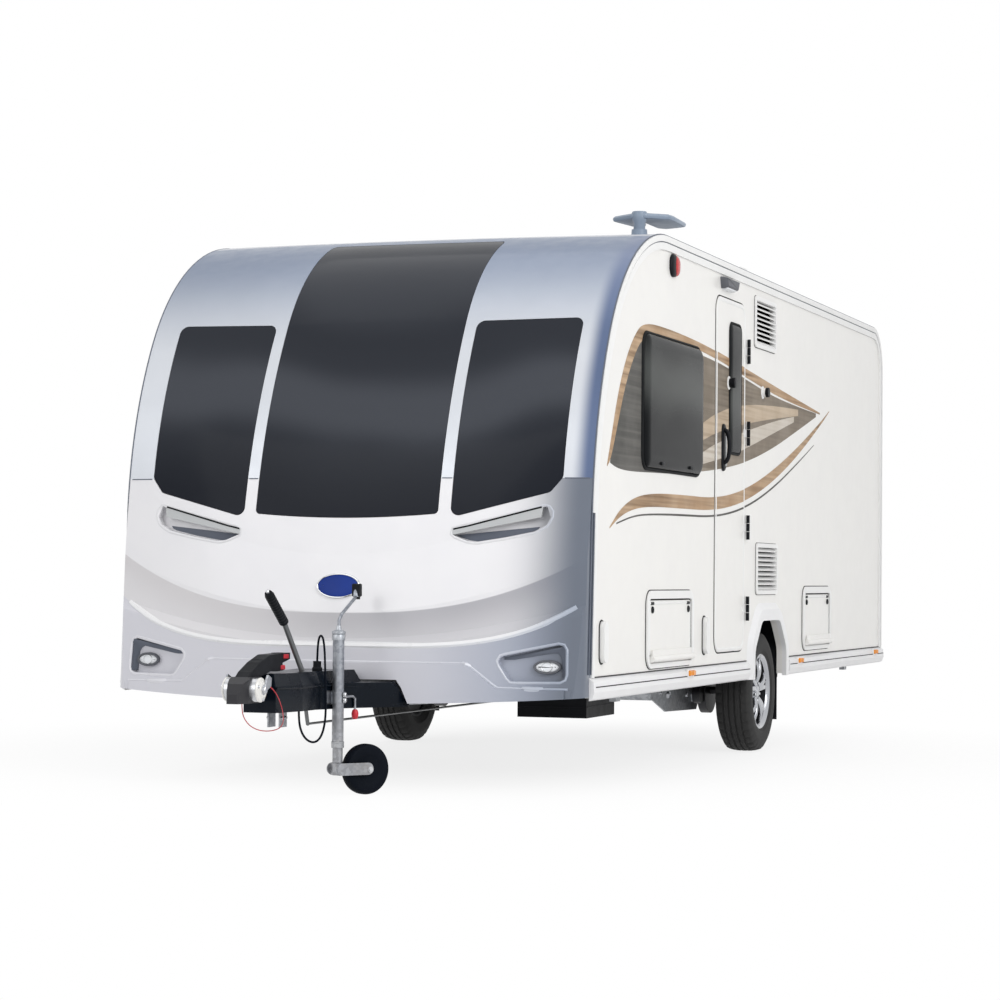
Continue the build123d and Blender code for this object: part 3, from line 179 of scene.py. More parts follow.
def tube(path: Sequence[Vec3], radius: float, sides: int = 8, closed: bool = False) -> Surf:
    """A round bar: a circle carried along a path.

    Args:
        path: Points of the centreline.
        radius: Radius of the circle.
        sides: Points round the circle.
        closed: Whether the path is a loop; an open one gets flat ends.

    Returns:
        The closed surface.
    """
    line = np.asarray(path, float)
    side, up = frames_along(line, closed)
    turn = np.arange(sides) * 2 * np.pi / sides
    ring = np.cos(turn)[None, :, None] * side[:, None] + np.sin(turn)[None, :, None] * up[:, None]
    return grid(line[:, None] + radius * ring, wrap_u=closed, wrap_v=True, capped=not closed).flipped()


def smooth_path(points: Sequence[Vec3], count: int = 24) -> np.ndarray:
    """Points along a quadratic B-spline: each stretch blends three neighbours by t squared.

    Args:
        points: Control points.
        count: About how many points come back.

    Returns:
        Array of points, from the first control point to the last.
    """
    pts = np.asarray(points, float)
    pts = np.concatenate([2 * pts[:1] - pts[1:2], pts, 2 * pts[-1:] - pts[-2:-1]])
    a, b, c = pts[:-2, None], pts[1:-1, None], pts[2:, None]
    t = np.linspace(0, 1, max(3, count // len(a) + 1))[:-1][None, :, None]
    curve = (a * (1 - t) ** 2 + b * (1 + 2 * t - 2 * t * t) + c * t * t) / 2
    return np.concatenate([curve.reshape(-1, 3), (pts[-2:-1] + pts[-1:]) / 2])


def axes_for(direction: Sequence[float]) -> np.ndarray:
    """A turn whose third axis points along a direction.

    Args:
        direction: The direction, of any length.

    Returns:
        A 3 by 3 matrix.
    """
    w = np.asarray(direction, float)
    w = w / np.linalg.norm(w)
    u = np.cross((0.0, 0.0, 1.0) if abs(w[2]) < 0.9 else (0.0, 1.0, 0.0), w)
    u /= np.linalg.norm(u)
    return np.column_stack([u, np.cross(w, u), w])


def turned(profile: Rows, count: int = 32) -> Surf:
    """A shape turned on a lathe about Z.

    Point (r, h) of the profile at turn a lies at (r cos a, r sin a, h). The first and last
    rows are closed with caps, unless the profile comes back to its start.

    Args:
        profile: (radius, height) rows, from the low end, outwards and up.
        count: Steps round the turn.

    Returns:
        The surface.
    """
    rows = np.asarray(profile, float)
    a = np.arange(count) * 2 * np.pi / count
    r, h = rows[:, :1], rows[:, 1:]
    points = np.stack([r * np.cos(a), r * np.sin(a), h + 0 * a], axis=-1)
    loop = bool(np.allclose(rows[0], rows[-1]))
    return grid(points[:-1] if loop else points, wrap_u=loop, wrap_v=True, capped=not loop)


def spun(profile: Rows, place: Sequence[float], direction: Sequence[float], count: int = 20) -> Surf:
    """A turned shape with its axis along a direction, standing on a place."""
    return turned(profile, count).moved(axes_for(direction), place)


def rounded_loop(points: Rows, radius: float, steps: int = 6) -> np.ndarray:
    """A closed outline with round corners.

    Each corner's arc touches both sides at radius / tan(half the inside angle) from it, and is
    stepped evenly in angle.

    Args:
        points: Corners in order.
        radius: Radius of the corners.
        steps: Steps in each arc.

    Returns:
        Array of shape (corners * (steps + 1), 2).
    """
    p = np.asarray(points, float)
    into = p - np.roll(p, 1, 0)
    out = np.roll(p, -1, 0) - p
    into /= np.linalg.norm(into, axis=1, keepdims=True)
    out /= np.linalg.norm(out, axis=1, keepdims=True)
    bend = np.arctan2(into[:, 0] * out[:, 1] - into[:, 1] * out[:, 0], (into * out).sum(1))
    start = p - into * (radius * np.abs(np.tan(bend / 2)))[:, None]
    normal = np.stack([-into[:, 1], into[:, 0]], 1) * np.sign(bend)[:, None]
    centre = start + normal * radius
    t = np.linspace(0, 1, steps + 1)[None, :] * bend[:, None]
    arm = -normal * radius
    x = arm[:, :1] * np.cos(t) - arm[:, 1:] * np.sin(t)
    y = arm[:, :1] * np.sin(t) + arm[:, 1:] * np.cos(t)
    return np.stack([centre[:, :1] + x, centre[:, 1:] + y], -1).reshape(-1, 2)


def box_loop(a0: float, a1: float, b0: float, b1: float, radius: float) -> np.ndarray:
    """Rounded rectangle between two pairs of limits, anticlockwise."""
    return rounded_loop([(a0, b0), (a1, b0), (a1, b1), (a0, b1)], radius)


def millimetre_loop(points: Rows, radius: float, shift: float = 0.0, steps: int = 6) -> np.ndarray:
    """A rounded outline from millimetres, turned anticlockwise.

    Args:
        points: Corners in order, either way round.
        radius: Radius of the corners in metres.
        shift: Metres added to the second coordinate.
        steps: Steps in each arc.

    Returns:
        The anticlockwise loop in metres.
    """
    loop = rounded_loop([(a / 1000, shift + b / 1000) for a, b in points], radius, steps)
    area = np.sum(loop[:, 0] * np.roll(loop[:, 1], -1) - loop[:, 1] * np.roll(loop[:, 0], -1))
    return loop if area > 0 else loop[::-1]


def oval_loop(a: float, b: float, half_a: float, half_b: float, count: int) -> np.ndarray:
    """An oval: its centre plus the half widths times the cosine and the sine of the turn."""
    turn = np.arange(count) * 2 * np.pi / count
    return np.stack([a + half_a * np.cos(turn), b + half_b * np.sin(turn)], 1)


def dense(loop: np.ndarray, step: float) -> np.ndarray:
    """The loop again with points evenly spaced at no more than a step.

    Args:
        loop: Closed outline, its first point not repeated.
        step: Largest spacing.

    Returns:
        The loop.
    """
    closed = np.concatenate([loop, loop[:1]])
    run = np.concatenate([[0.0], np.cumsum(np.linalg.norm(np.diff(closed, axis=0), axis=1))])
    along = np.linspace(0, run[-1], int(run[-1] / step) + 1)[:-1]
    return np.stack([np.interp(along, run, closed[:, k]) for k in (0, 1)], 1)


def outward(loop: np.ndarray) -> np.ndarray:
    """Unit outward normals of an anticlockwise loop, from the chord across each point."""
    chord = np.roll(loop, -1, 0) - np.roll(loop, 1, 0)
    chord /= np.linalg.norm(chord, axis=1, keepdims=True)
    return np.stack([chord[:, 1], -chord[:, 0]], 1)


def carried(loop: np.ndarray, profile: Rows, filled: bool = False) -> Surf:
    """A profile carried round a flat loop, in local axes (a, b, height).

    Point (out, up) of the profile lies at loop + out * normal, at that height.

    Args:
        loop: Anticlockwise loop of (a, b) points.
        profile: (outward offset, height) rows.
        filled: Whether the first and last rows are closed with caps.

    Returns:
        The surface; its profile closes on itself when not filled.
    """
    rows = np.asarray(profile, float)
    flat = loop[None] + rows[:, None, :1] * outward(loop)[None]
    height = np.broadcast_to(rows[:, None, 1:], flat.shape[:2] + (1,))
    return grid(np.concatenate([flat, height], -1), wrap_u=not filled, wrap_v=True, capped=filled)


def bead(width: float, rise: float) -> list[tuple[float, float]]:
    """Half-round profile on a flat foot, from its outer edge over to its inner one."""
    rows = [(width / 2 * math.cos(t), rise * math.sin(t)) for t in np.linspace(0, np.pi, 7)]
    return rows + [(-width / 2, UNDER), (width / 2, UNDER)]


def pad(rise: float, edge: float) -> list[tuple[float, float]]:
    """Profile of a raised plate with a rounded edge, from its foot to its flat top."""
    turns = np.linspace(0, np.pi / 2, 5)
    return [(0.0, UNDER)] + [(edge * (math.cos(t) - 1), rise - edge + edge * math.sin(t)) for t in turns]


def dome(rise: float, reach: float) -> list[tuple[float, float]]:
    """Profile that rises steeply from its foot and flattens towards the middle."""
    turns = np.linspace(0, np.pi / 2, 7)
    return [(0.0, -0.004)] + [(-reach * (1 - math.cos(t)), rise * (0.35 + 0.65 * math.sin(t))) for t in turns]


def hexagon_head(place: Sequence[float], way: Sequence[float], radius: float, rise: float) -> Surf:
    """A bolt head: washer, then a six-sided head with a chamfer.

    Args:
        place: Middle of its foot.
        way: Direction that it points in.
        radius: Radius over the corners.
        rise: Height.

    Returns:
        The surface.
    """
    wide = radius * 1.35
    washer = [(0.0, UNDER), (wide, UNDER), (wide, rise * 0.2), (0.0, rise * 0.2)]
    head = [(0.0, 0.0), (radius, 0.0), (radius, rise * 0.85), (radius * 0.85, rise), (0.0, rise)]
    return joined([spun(washer, place, way, 16), spun(head, place, way, 6)])


class Face(Enum):
    """Which way a flat fitting faces; each value is its (a, b, height) axes as columns."""

    ENTRY_SIDE = ((0, 0, 1), (1, 0, 0), (0, 1, 0))
    FAR_SIDE = ((0, 0, -1), (-1, 0, 0), (0, 1, 0))
    REAR = ((-1, 0, 0), (0, 0, 1), (0, 1, 0))

    def put(self, surf: Surf, height: float) -> Surf:
        """Stand a flat surface on the plane at that height along this face's own axis."""
        turn = np.array(self.value, float)
        return surf.moved(turn, turn[:, 2] * height)


SIDES = {1: Face.ENTRY_SIDE, -1: Face.FAR_SIDE}


@dataclass
class Skin:
    """The outer face of some CAD nodes, seen along +Y, as a height field."""

    names: tuple[str, ...]

    def __post_init__(self) -> None:
        """Collect the triangles that face forwards."""
        stacks = []
        for name in self.names:
            mesh = NODES[name].data
            co = np.zeros(len(mesh.vertices) * 3)
            mesh.vertices.foreach_get("co", co)
            mesh.calc_loop_triangles()
            tri = np.zeros(len(mesh.loop_triangles) * 3, int)
            mesh.loop_triangles.foreach_get("vertices", tri)
            stacks.append(co.reshape(-1, 3)[tri.reshape(-1, 3)])
        tris = np.concatenate(stacks)
        normal = np.cross(tris[:, 1] - tris[:, 0], tris[:, 2] - tris[:, 0])
        self.tris = tris[normal[:, 1] < -1e-12]

    def depth(self, x: np.ndarray, z: np.ndarray) -> np.ndarray:
        """The foremost y at each (x, z), taken in blocks of points."""
        blocks = (np.array_split(axis, max(1, len(x) // 100)) for axis in (x, z))
        return np.concatenate([self._block(px, pz) for px, pz in zip(*blocks)])

    def _block(self, x: np.ndarray, z: np.ndarray) -> np.ndarray:
        """The foremost y of a few points, from barycentric weights in the triangles near them.

        Args:
            x: Their x.
            z: Their z.

        Returns:
            Their y.
        """
        flat = self.tris[:, :, [0, 2]]
        low, high = np.array([x.min(), z.min()]), np.array([x.max(), z.max()])
        near = np.all((flat.max(1) >= low) & (flat.min(1) <= high), axis=1)
        a, b, c = (self.tris[near, k] for k in range(3))
        e0, e1 = (b - a)[:, [0, 2]], (c - a)[:, [0, 2]]
        det = e0[:, 0] * e1[:, 1] - e0[:, 1] * e1[:, 0]
        det = np.where(np.abs(det) < 1e-12, 1e-12, det)
        px, pz = x[:, None] - a[:, 0], z[:, None] - a[:, 2]
        u = (px * e1[:, 1] - pz * e1[:, 0]) / det
        v = (pz * e0[:, 0] - px * e0[:, 1]) / det
        inside = (u > -1e-3) & (v > -1e-3) & (u + v < 1.001)
        y = a[:, 1] + u * (b - a)[:, 1] + v * (c - a)[:, 1]
        return np.where(inside, y, 9.0).min(1)

    def draped(self, surf: Surf) -> Surf:
        """Lay a flat surface on the skin: its local height is the rise off it."""
        x, z, rise = surf.verts.T
        return Surf(np.stack([x, self.depth(x, z) - rise, z], 1), surf.quads, surf.caps)

    def line(self, x: np.ndarray, z: np.ndarray, radius: float, sink: float, closed: bool = False) -> Surf:
        """A round bar along the skin.

        Args:
            x: Its x at each point.
            z: Its z at each point.
            radius: Its radius.
            sink: How far its middle lies behind the skin.
            closed: Whether it is a loop.

        Returns:
            The bar.
        """
        return tube(np.stack([x, self.depth(x, z) + sink, z], 1), radius, closed=closed)


# ------------------------------ shader graphs
class Graph:
    """A node tree with short calls for adding and linking nodes."""

    def __init__(self, tree: Tree) -> None:
        """Hold the tree."""
        self.tree = tree

    def fill(self, node: bpy.types.Node, **inputs: object) -> bpy.types.Node:
        """Feed a node's inputs, named with underscores for spaces, or i0, i1 by number."""
        for key, value in inputs.items():
            number = key[0] == "i" and key[1:].isdigit()
            self.feed(node.inputs[int(key[1:]) if number else key.replace("_", " ")], value)
        return node

    def feed(self, socket: Socket, value: object) -> None:
        """Link a socket into an input, or set its value.

        Args:
            socket: The input.
            value: A socket, a colour or a number.
        """
        if isinstance(value, Socket):
            self.tree.links.new(value, socket)
        elif isinstance(value, tuple) and len(value) == 3 and socket.type == "RGBA":
            socket.default_value = (*value, 1.0)
        else:
            socket.default_value = value

    def add(self, kind: str, settings: Optional[dict] = None, **inputs: object) -> bpy.types.Node:
        """Add a node.

        Args:
            kind: Node type without its ShaderNode prefix.
            settings: Properties of the node itself.
            **inputs: Values or sockets for its inputs, as fill() names them.

        Returns:
            The node.
        """
        node = self.tree.nodes.new("ShaderNode" + kind)
        for key, value in (settings or {}).items():
            setattr(node, key, value)
        return self.fill(node, **inputs)

    def use(self, group: Tree, **inputs: object) -> bpy.types.bpy_prop_collection:
        """Place a shader group, feed it and give its outputs."""
        return self.add("Group", {"node_tree": group}, **inputs).outputs

    def math(self, operation: str, *values: object, clamp: bool = False) -> Socket:
        """One arithmetic step."""
        inputs = {f"i{number}": value for number, value in enumerate(values)}
        return self.add("Math", {"operation": operation, "use_clamp": clamp}, **inputs).outputs[0]

    def blend(self, factor: object, a: object, b: object) -> Socket:
        """Mix two colours."""
        return self.add("Mix", {"data_type": "RGBA"}, i0=factor, i6=a, i7=b).outputs[2]

    def between(
        self, value: object, low: float, high: float, to_low: float = 0.0, to_high: float = 1.0
    ) -> Socket:
        """Smoothly map a value from one range to another.

        Args:
            value: The value's socket.
            low: Start of its range.
            high: End of its range.
            to_low: What the start becomes.
            to_high: What the end becomes.

        Returns:
            The mapped socket.
        """
        ends = {"From_Min": low, "From_Max": high, "To_Min": to_low, "To_Max": to_high}
        return self.add("MapRange", {"interpolation_type": "SMOOTHSTEP"}, Value=value, **ends).outputs[0]

    def parts(self, vector: object) -> bpy.types.bpy_prop_collection:
        """The X, Y and Z of a vector."""
        return self.add("SeparateXYZ", Vector=vector).outputs

    def noise(self, place: object, scale: object, detail: float = 3.0) -> Socket:
        """Fractal noise."""
        return self.add("TexNoise", Vector=place, Scale=scale, Detail=detail).outputs["Fac"]

    def bump(self, height: object, strength: float, distance: float) -> Socket:
        """A normal from a height."""
        return self.add("Bump", Height=height, Strength=strength, Distance=distance).outputs[0]


class GroupGraph(Graph):
    """A shader group under construction, with what it is given and what it gives."""

    def __init__(self, name: str, inputs: dict[str, str], outputs: dict[str, str]) -> None:
        """Make the group and its sockets.

        Args:
            name: Name of the group.
            inputs: Kind of each input by its name: Float, Vector or Color.
            outputs: The same for its outputs.
        """
        super().__init__(bpy.data.node_groups.new(name, "ShaderNodeTree"))
        for sockets, way in ((inputs, "INPUT"), (outputs, "OUTPUT")):
            for label, kind in sockets.items():
                self.tree.interface.new_socket(label, in_out=way, socket_type="NodeSocket" + kind)
        self.given = self.tree.nodes.new("NodeGroupInput").outputs
        self.end = self.tree.nodes.new("NodeGroupOutput")


def road_film() -> Tree:
    """Dust that thins out with height above the road, broken up by noise."""
    g = GroupGraph("road_film", {"Place": "Vector", "Top": "Float", "Amount": "Float"}, {"Mask": "Float"})
    place = g.given["Place"]
    low = g.math("SUBTRACT", 1.0, g.math("DIVIDE", g.parts(place)["Z"], g.given["Top"]), clamp=True)
    cloud = g.between(g.noise(place, 3.5, 5.0), 0.35, 0.7, 0.4, 1.0)
    speck = g.between(g.noise(place, 60.0, 2.0), 0.5, 0.75, 0.75, 1.25)
    mask = g.math("MULTIPLY", g.math("MULTIPLY", low, cloud), speck)
    g.fill(g.end, Mask=g.math("MULTIPLY", mask, g.given["Amount"], clamp=True))
    return g.tree


def fine_grain() -> Tree:
    """Moulded grain: fine noise as a height, and a slow change of tone."""
    g = GroupGraph("fine_grain", {"Place": "Vector", "Scale": "Float"}, {"Height": "Float", "Tone": "Float"})
    place = g.given["Place"]
    fine = g.noise(place, g.given["Scale"], 2.0)
    g.fill(g.end, Height=fine, Tone=g.between(g.noise(place, 4.0, 4.0), 0.3, 0.7))
    return g.tree


def zinc_spangle() -> Tree:
    """Crystals of hot-dip zinc: cells of random tone, softened by noise."""
    g = GroupGraph("zinc_spangle", {"Place": "Vector"}, {"Tone": "Float", "Height": "Float"})
    place = g.given["Place"]
    tone = g.parts(g.add("TexVoronoi", Vector=place, Scale=75.0).outputs["Color"])["X"]
    cloud = g.noise(place, 9.0, 5.0)
    g.fill(
        g.end,
        Tone=g.math("ADD", g.math("MULTIPLY", tone, 0.35), g.math("MULTIPLY", cloud, 0.65)),
        Height=g.math("ADD", g.math("MULTIPLY", tone, 0.3), cloud),
    )
    return g.tree


ROAD_FILM, FINE_GRAIN, ZINC_SPANGLE = road_film(), fine_grain(), zinc_spangle()
DUST: Color = (0.36, 0.31, 0.25)


# ------------------------------ finishes
@dataclass(frozen=True)
class Recipe:
    """What all finishes share: a name and a material that is built once."""

    name: str

    def material(self) -> bpy.types.Material:
        """Build the material, or return the one already built."""
        known = bpy.data.materials.get(self.name)
        if known:
            return known
        mat = bpy.data.materials.new(self.name)
        mat.use_nodes = True
        g = Graph(mat.node_tree)
        self.wire(g, mat.node_tree.nodes["Principled BSDF"], g.add("TexCoord").outputs["Object"])
        return mat

    def wire(self, g: Graph, bsdf: bpy.types.Node, place: Socket) -> None:
        """Feed the shader; each kind of finish has its own way.

        Args:
            g: The material's nodes.
            bsdf: Its shader.
            place: The place on the caravan.
        """
        raise NotImplementedError


@dataclass(frozen=True)
class Finish(Recipe):
    """A painted, moulded or rubber surface with grain, tone changes and road film."""

    color: Color
    shade: Color
    roughness: float
    metallic: float = 0.0
    coat: float = 0.0
    grain_scale: float = 900.0
    grain: float = 0.1
    grain_deep: float = 0.0002
    film_top: float = 0.8
    film: float = 0.04
    specular: float = 0.5

    def wire(self, g: Graph, bsdf: bpy.types.Node, place: Socket) -> None:
        """Tone under dust, with streaks in the gloss and grain in the normal.

        Args:
            g: The material's nodes.
            bsdf: Its shader.
            place: The place on the caravan.
        """
        grain = g.use(FINE_GRAIN, Place=place, Scale=self.grain_scale)
        dust = g.use(ROAD_FILM, Place=place, Top=self.film_top, Amount=self.film)["Mask"]
        tone = self.tinted(g, place, g.blend(grain["Tone"], self.color, self.shade))
        rough = g.between(dust, 0.0, 1.0, self.roughness, min(1.0, self.roughness + 0.4))
        streak = g.between(g.noise(place, 14.0, 4.0), 0.3, 0.7, -0.04, 0.04)
        g.fill(
            bsdf,
            Base_Color=g.blend(dust, tone, DUST),
            Roughness=g.math("ADD", rough, streak, clamp=True),
            Normal=g.bump(grain["Height"], self.grain, self.grain_deep),
            Metallic=self.metallic,
            Coat_Weight=self.coat,
            Coat_Roughness=0.08,
            Specular_IOR_Level=self.specular,
        )

    def tinted(self, g: Graph, place: Socket, tone: Socket) -> Socket:
        """The tone before the dust goes on; plain here."""
        return tone


@dataclass(frozen=True)
class ShadedPaint(Finish):
    """Body paint that turns in tone with height, as on the raked front, with a painted corner reflection."""

    high_color: Color = (0.5, 0.5, 0.5)
    from_z: float = 1.3
    to_z: float = 2.3
    # painted dark reflection at the entry side's corner
    turn: Color = (0.2, 0.2, 0.2)

    def tinted(self, g: Graph, place: Socket, tone: Socket) -> Socket:
        """Blend to the high colour by height, then to a painted dark reflection at the entry corner."""
        parts = g.parts(place)
        risen = g.blend(g.between(parts["Z"], self.from_z, self.to_z), tone, self.high_color)
        # painted reflection: the colour turns dark at the entry side's corner
        return g.blend(g.between(parts["X"], 0.985, 1.06), risen, self.turn)


@dataclass(frozen=True)
class FrontMoulding(Finish):
    """Front moulding with painted shade on the band between its two long creases and on its foot.

    The band's lower edge climbs with the fourth power of the distance out, its upper edge with
    the power 2.6, as the creases do.
    """

    # Painted shade: the band between the creases and the foot below them, darker towards the entry side.
    band: Color = (0.60, 0.585, 0.60)
    band_shade_near: Color = (0.40, 0.395, 0.425)
    foot: Color = (0.60, 0.60, 0.65)
    foot_shade_near: Color = (0.30, 0.33, 0.41)
    # Painted dark reflection at the entry side's corner.
    turn: Color = (0.115, 0.135, 0.175)

    def tinted(self, g: Graph, place: Socket, tone: Socket) -> Socket:
        """Lay painted shade on the foot and the band, then a painted dark reflection at the entry corner.

        Args:
            g: The material's nodes.
            place: The place on the caravan.
            tone: The plain paint.

        Returns:
            The tone before the dust goes on.
        """
        x, _, z = g.parts(place)
        out = g.math("DIVIDE", g.math("ABSOLUTE", x), 1.05)
        upper = g.math("MULTIPLY_ADD", g.math("POWER", out, 2.6), 0.23, 0.75)
        lower = g.math("MULTIPLY_ADD", g.math("POWER", out, 4.0), 0.18, 0.61)
        below = g.math("SUBTRACT", upper, z)
        over_low = g.between(g.math("SUBTRACT", z, lower), -0.002, 0.006)
        soft = g.between(below, 0.0, 0.16, 1.0, 0.55)
        # painted shade on the band and the foot, darker towards the entry side
        shade = g.blend(g.between(x, -0.75, 0.45), self.band, self.band_shade_near)
        foot = g.blend(g.between(x, 0.15, 0.98), self.foot, self.foot_shade_near)
        body = g.blend(g.math("SUBTRACT", 1.0, over_low), tone, foot)
        inside = g.math("MULTIPLY", g.math("MULTIPLY", g.between(below, -0.002, 0.004), over_low), soft)
        # painted dark reflection towards the entry side's corner
        edge = g.math("POWER", g.between(x, 0.66, 1.04), 1.6)
        return g.blend(edge, g.blend(inside, body, shade), self.turn)


@dataclass(frozen=True)
class BrushedFoil(Finish):
    """Printed film with long soft streaks that darken in patches."""

    streak: Color = (0.2, 0.15, 0.1)

    def tinted(self, g: Graph, place: Socket, tone: Socket) -> Socket:
        """Noise stretched along the side gives the streaks."""
        long = g.add("VectorMath", {"operation": "MULTIPLY"}, i0=place, i1=(1.0, 0.5, 34.0)).outputs[0]
        fine = g.between(g.noise(long, 1.6, 4.0), 0.35, 0.7)
        broad = g.between(g.noise(place, 1.3, 2.0), 0.3, 0.7, 0.25, 1.0)
        return g.blend(g.math("MULTIPLY", fine, broad), tone, self.streak)


@dataclass(frozen=True)
class Galvanised(Recipe):
    """Hot-dip zinc with crystals, dull patches and road film."""

    name: str = "galvanised_zinc"
    bright: Color = (0.48, 0.50, 0.53)
    dull: Color = (0.32, 0.34, 0.37)
    roughness: float = 0.42

    def wire(self, g: Graph, bsdf: bpy.types.Node, place: Socket) -> None:
        """The crystals' tone gives the colour and, the other way round, the roughness.

        Args:
            g: The material's nodes.
            bsdf: Its shader.
            place: The place on the caravan.
        """
        zinc = g.use(ZINC_SPANGLE, Place=place)
        dust = g.use(ROAD_FILM, Place=place, Top=0.7, Amount=0.35)["Mask"]
        tone = g.blend(g.between(zinc["Tone"], 0.3, 0.75), self.dull, self.bright)
        g.fill(
            bsdf,
            Base_Color=g.blend(dust, tone, DUST),
            Roughness=g.between(zinc["Tone"], 0.2, 0.8, self.roughness + 0.12, self.roughness),
            Normal=g.bump(zinc["Height"], 0.15, 0.0006),
            Metallic=0.85,
        )


@dataclass(frozen=True)
class Glass(Recipe):
    """Dark tinted acrylic: gloss, a painted reflection in belts up its height, and faint cleaning haze."""

    color: Color
    # colour of the painted reflection
    reflection_color: Color
    roughness: float = 0.10
    specular: float = 0.06
    # heights where the painted reflection's belt rises and falls; keep is what is left of it above
    belt: Box = (1.25, 1.62, 1.80, 2.20)
    keep: float = 0.6

    def wire(self, g: Graph, bsdf: bpy.types.Node, place: Socket) -> None:
        """The painted reflection is the belt's rise times its fall times a sine wave of the height.

        Args:
            g: The material's nodes.
            bsdf: Its shader.
            place: The place on the caravan.
        """
        level = g.math("ADD", g.parts(place)["Z"], g.between(g.noise(place, 0.9, 1.0), 0.3, 0.7, -0.10, 0.10))
        rise, fall = g.between(level, *self.belt[:2]), g.between(level, *self.belt[2:], 1.0, self.keep)
        wave = g.math("SINE", g.math("MULTIPLY", g.math("SUBTRACT", level, 1.5625), 11.42))
        painted_reflection = g.math("MULTIPLY", g.math("MULTIPLY", rise, fall), g.between(wave, -1.0, 1.0, 0.35, 1.0))
        haze = g.between(g.noise(place, 18.0, 5.0), 0.4, 0.75, 0.0, 0.05)
        g.fill(
            bsdf,
            Base_Color=g.blend(painted_reflection, self.color, self.reflection_color),
            Roughness=g.math("ADD", haze, self.roughness),
            Specular_IOR_Level=self.specular,
        )


@dataclass(frozen=True)
class Lens(Recipe):
    """Moulded lamp lens with fine prisms over a bright reflector."""

    color: Color
    deep: Color
    pitch: float = 320.0
    coat: float = 0.8
    specular: float = 0.4

    def wire(self, g: Graph, bsdf: bpy.types.Node, place: Socket) -> None:
        """Cells give the prisms, and diagonal waves deepen them.

        Args:
            g: The material's nodes.
            bsdf: Its shader.
            place: The place on the caravan.
        """
        wave = g.add("TexWave", {"bands_direction": "DIAGONAL"}, Vector=place, Scale=self.pitch / 20)
        prism = g.add("TexVoronoi", Vector=place, Scale=self.pitch).outputs["Distance"]
        g.fill(
            bsdf,
            Base_Color=g.blend(g.math("MULTIPLY", prism, wave.outputs["Fac"]), self.color, self.deep),
            Roughness=g.between(prism, 0.0, 0.6, 0.06, 0.2),
            Normal=g.bump(prism, 0.35, 0.0006),
            Coat_Weight=self.coat,
            Coat_Roughness=0.03,
            Specular_IOR_Level=self.specular,
        )


def foil(name: str, color: Color, shade: Color, streak: Color) -> BrushedFoil:
    """A printed film of the side decoration."""
    return BrushedFoil(name, color, shade, 0.5, film=0.0, specular=0.05, streak=streak)


def moulded(
    name: str, grey: Color, shade: Color, near: Color, foot: Color, last: Color, turn: Color
) -> FrontMoulding:
    """A raised edge on the front moulding, with the moulding's painted shade and corner reflection."""
    return FrontMoulding(
        name, grey, shade, 0.3, coat=0.3, grain=0.03, film=0.0, band=grey, band_shade_near=near, foot=foot,
        foot_shade_near=last, turn=turn,
    )


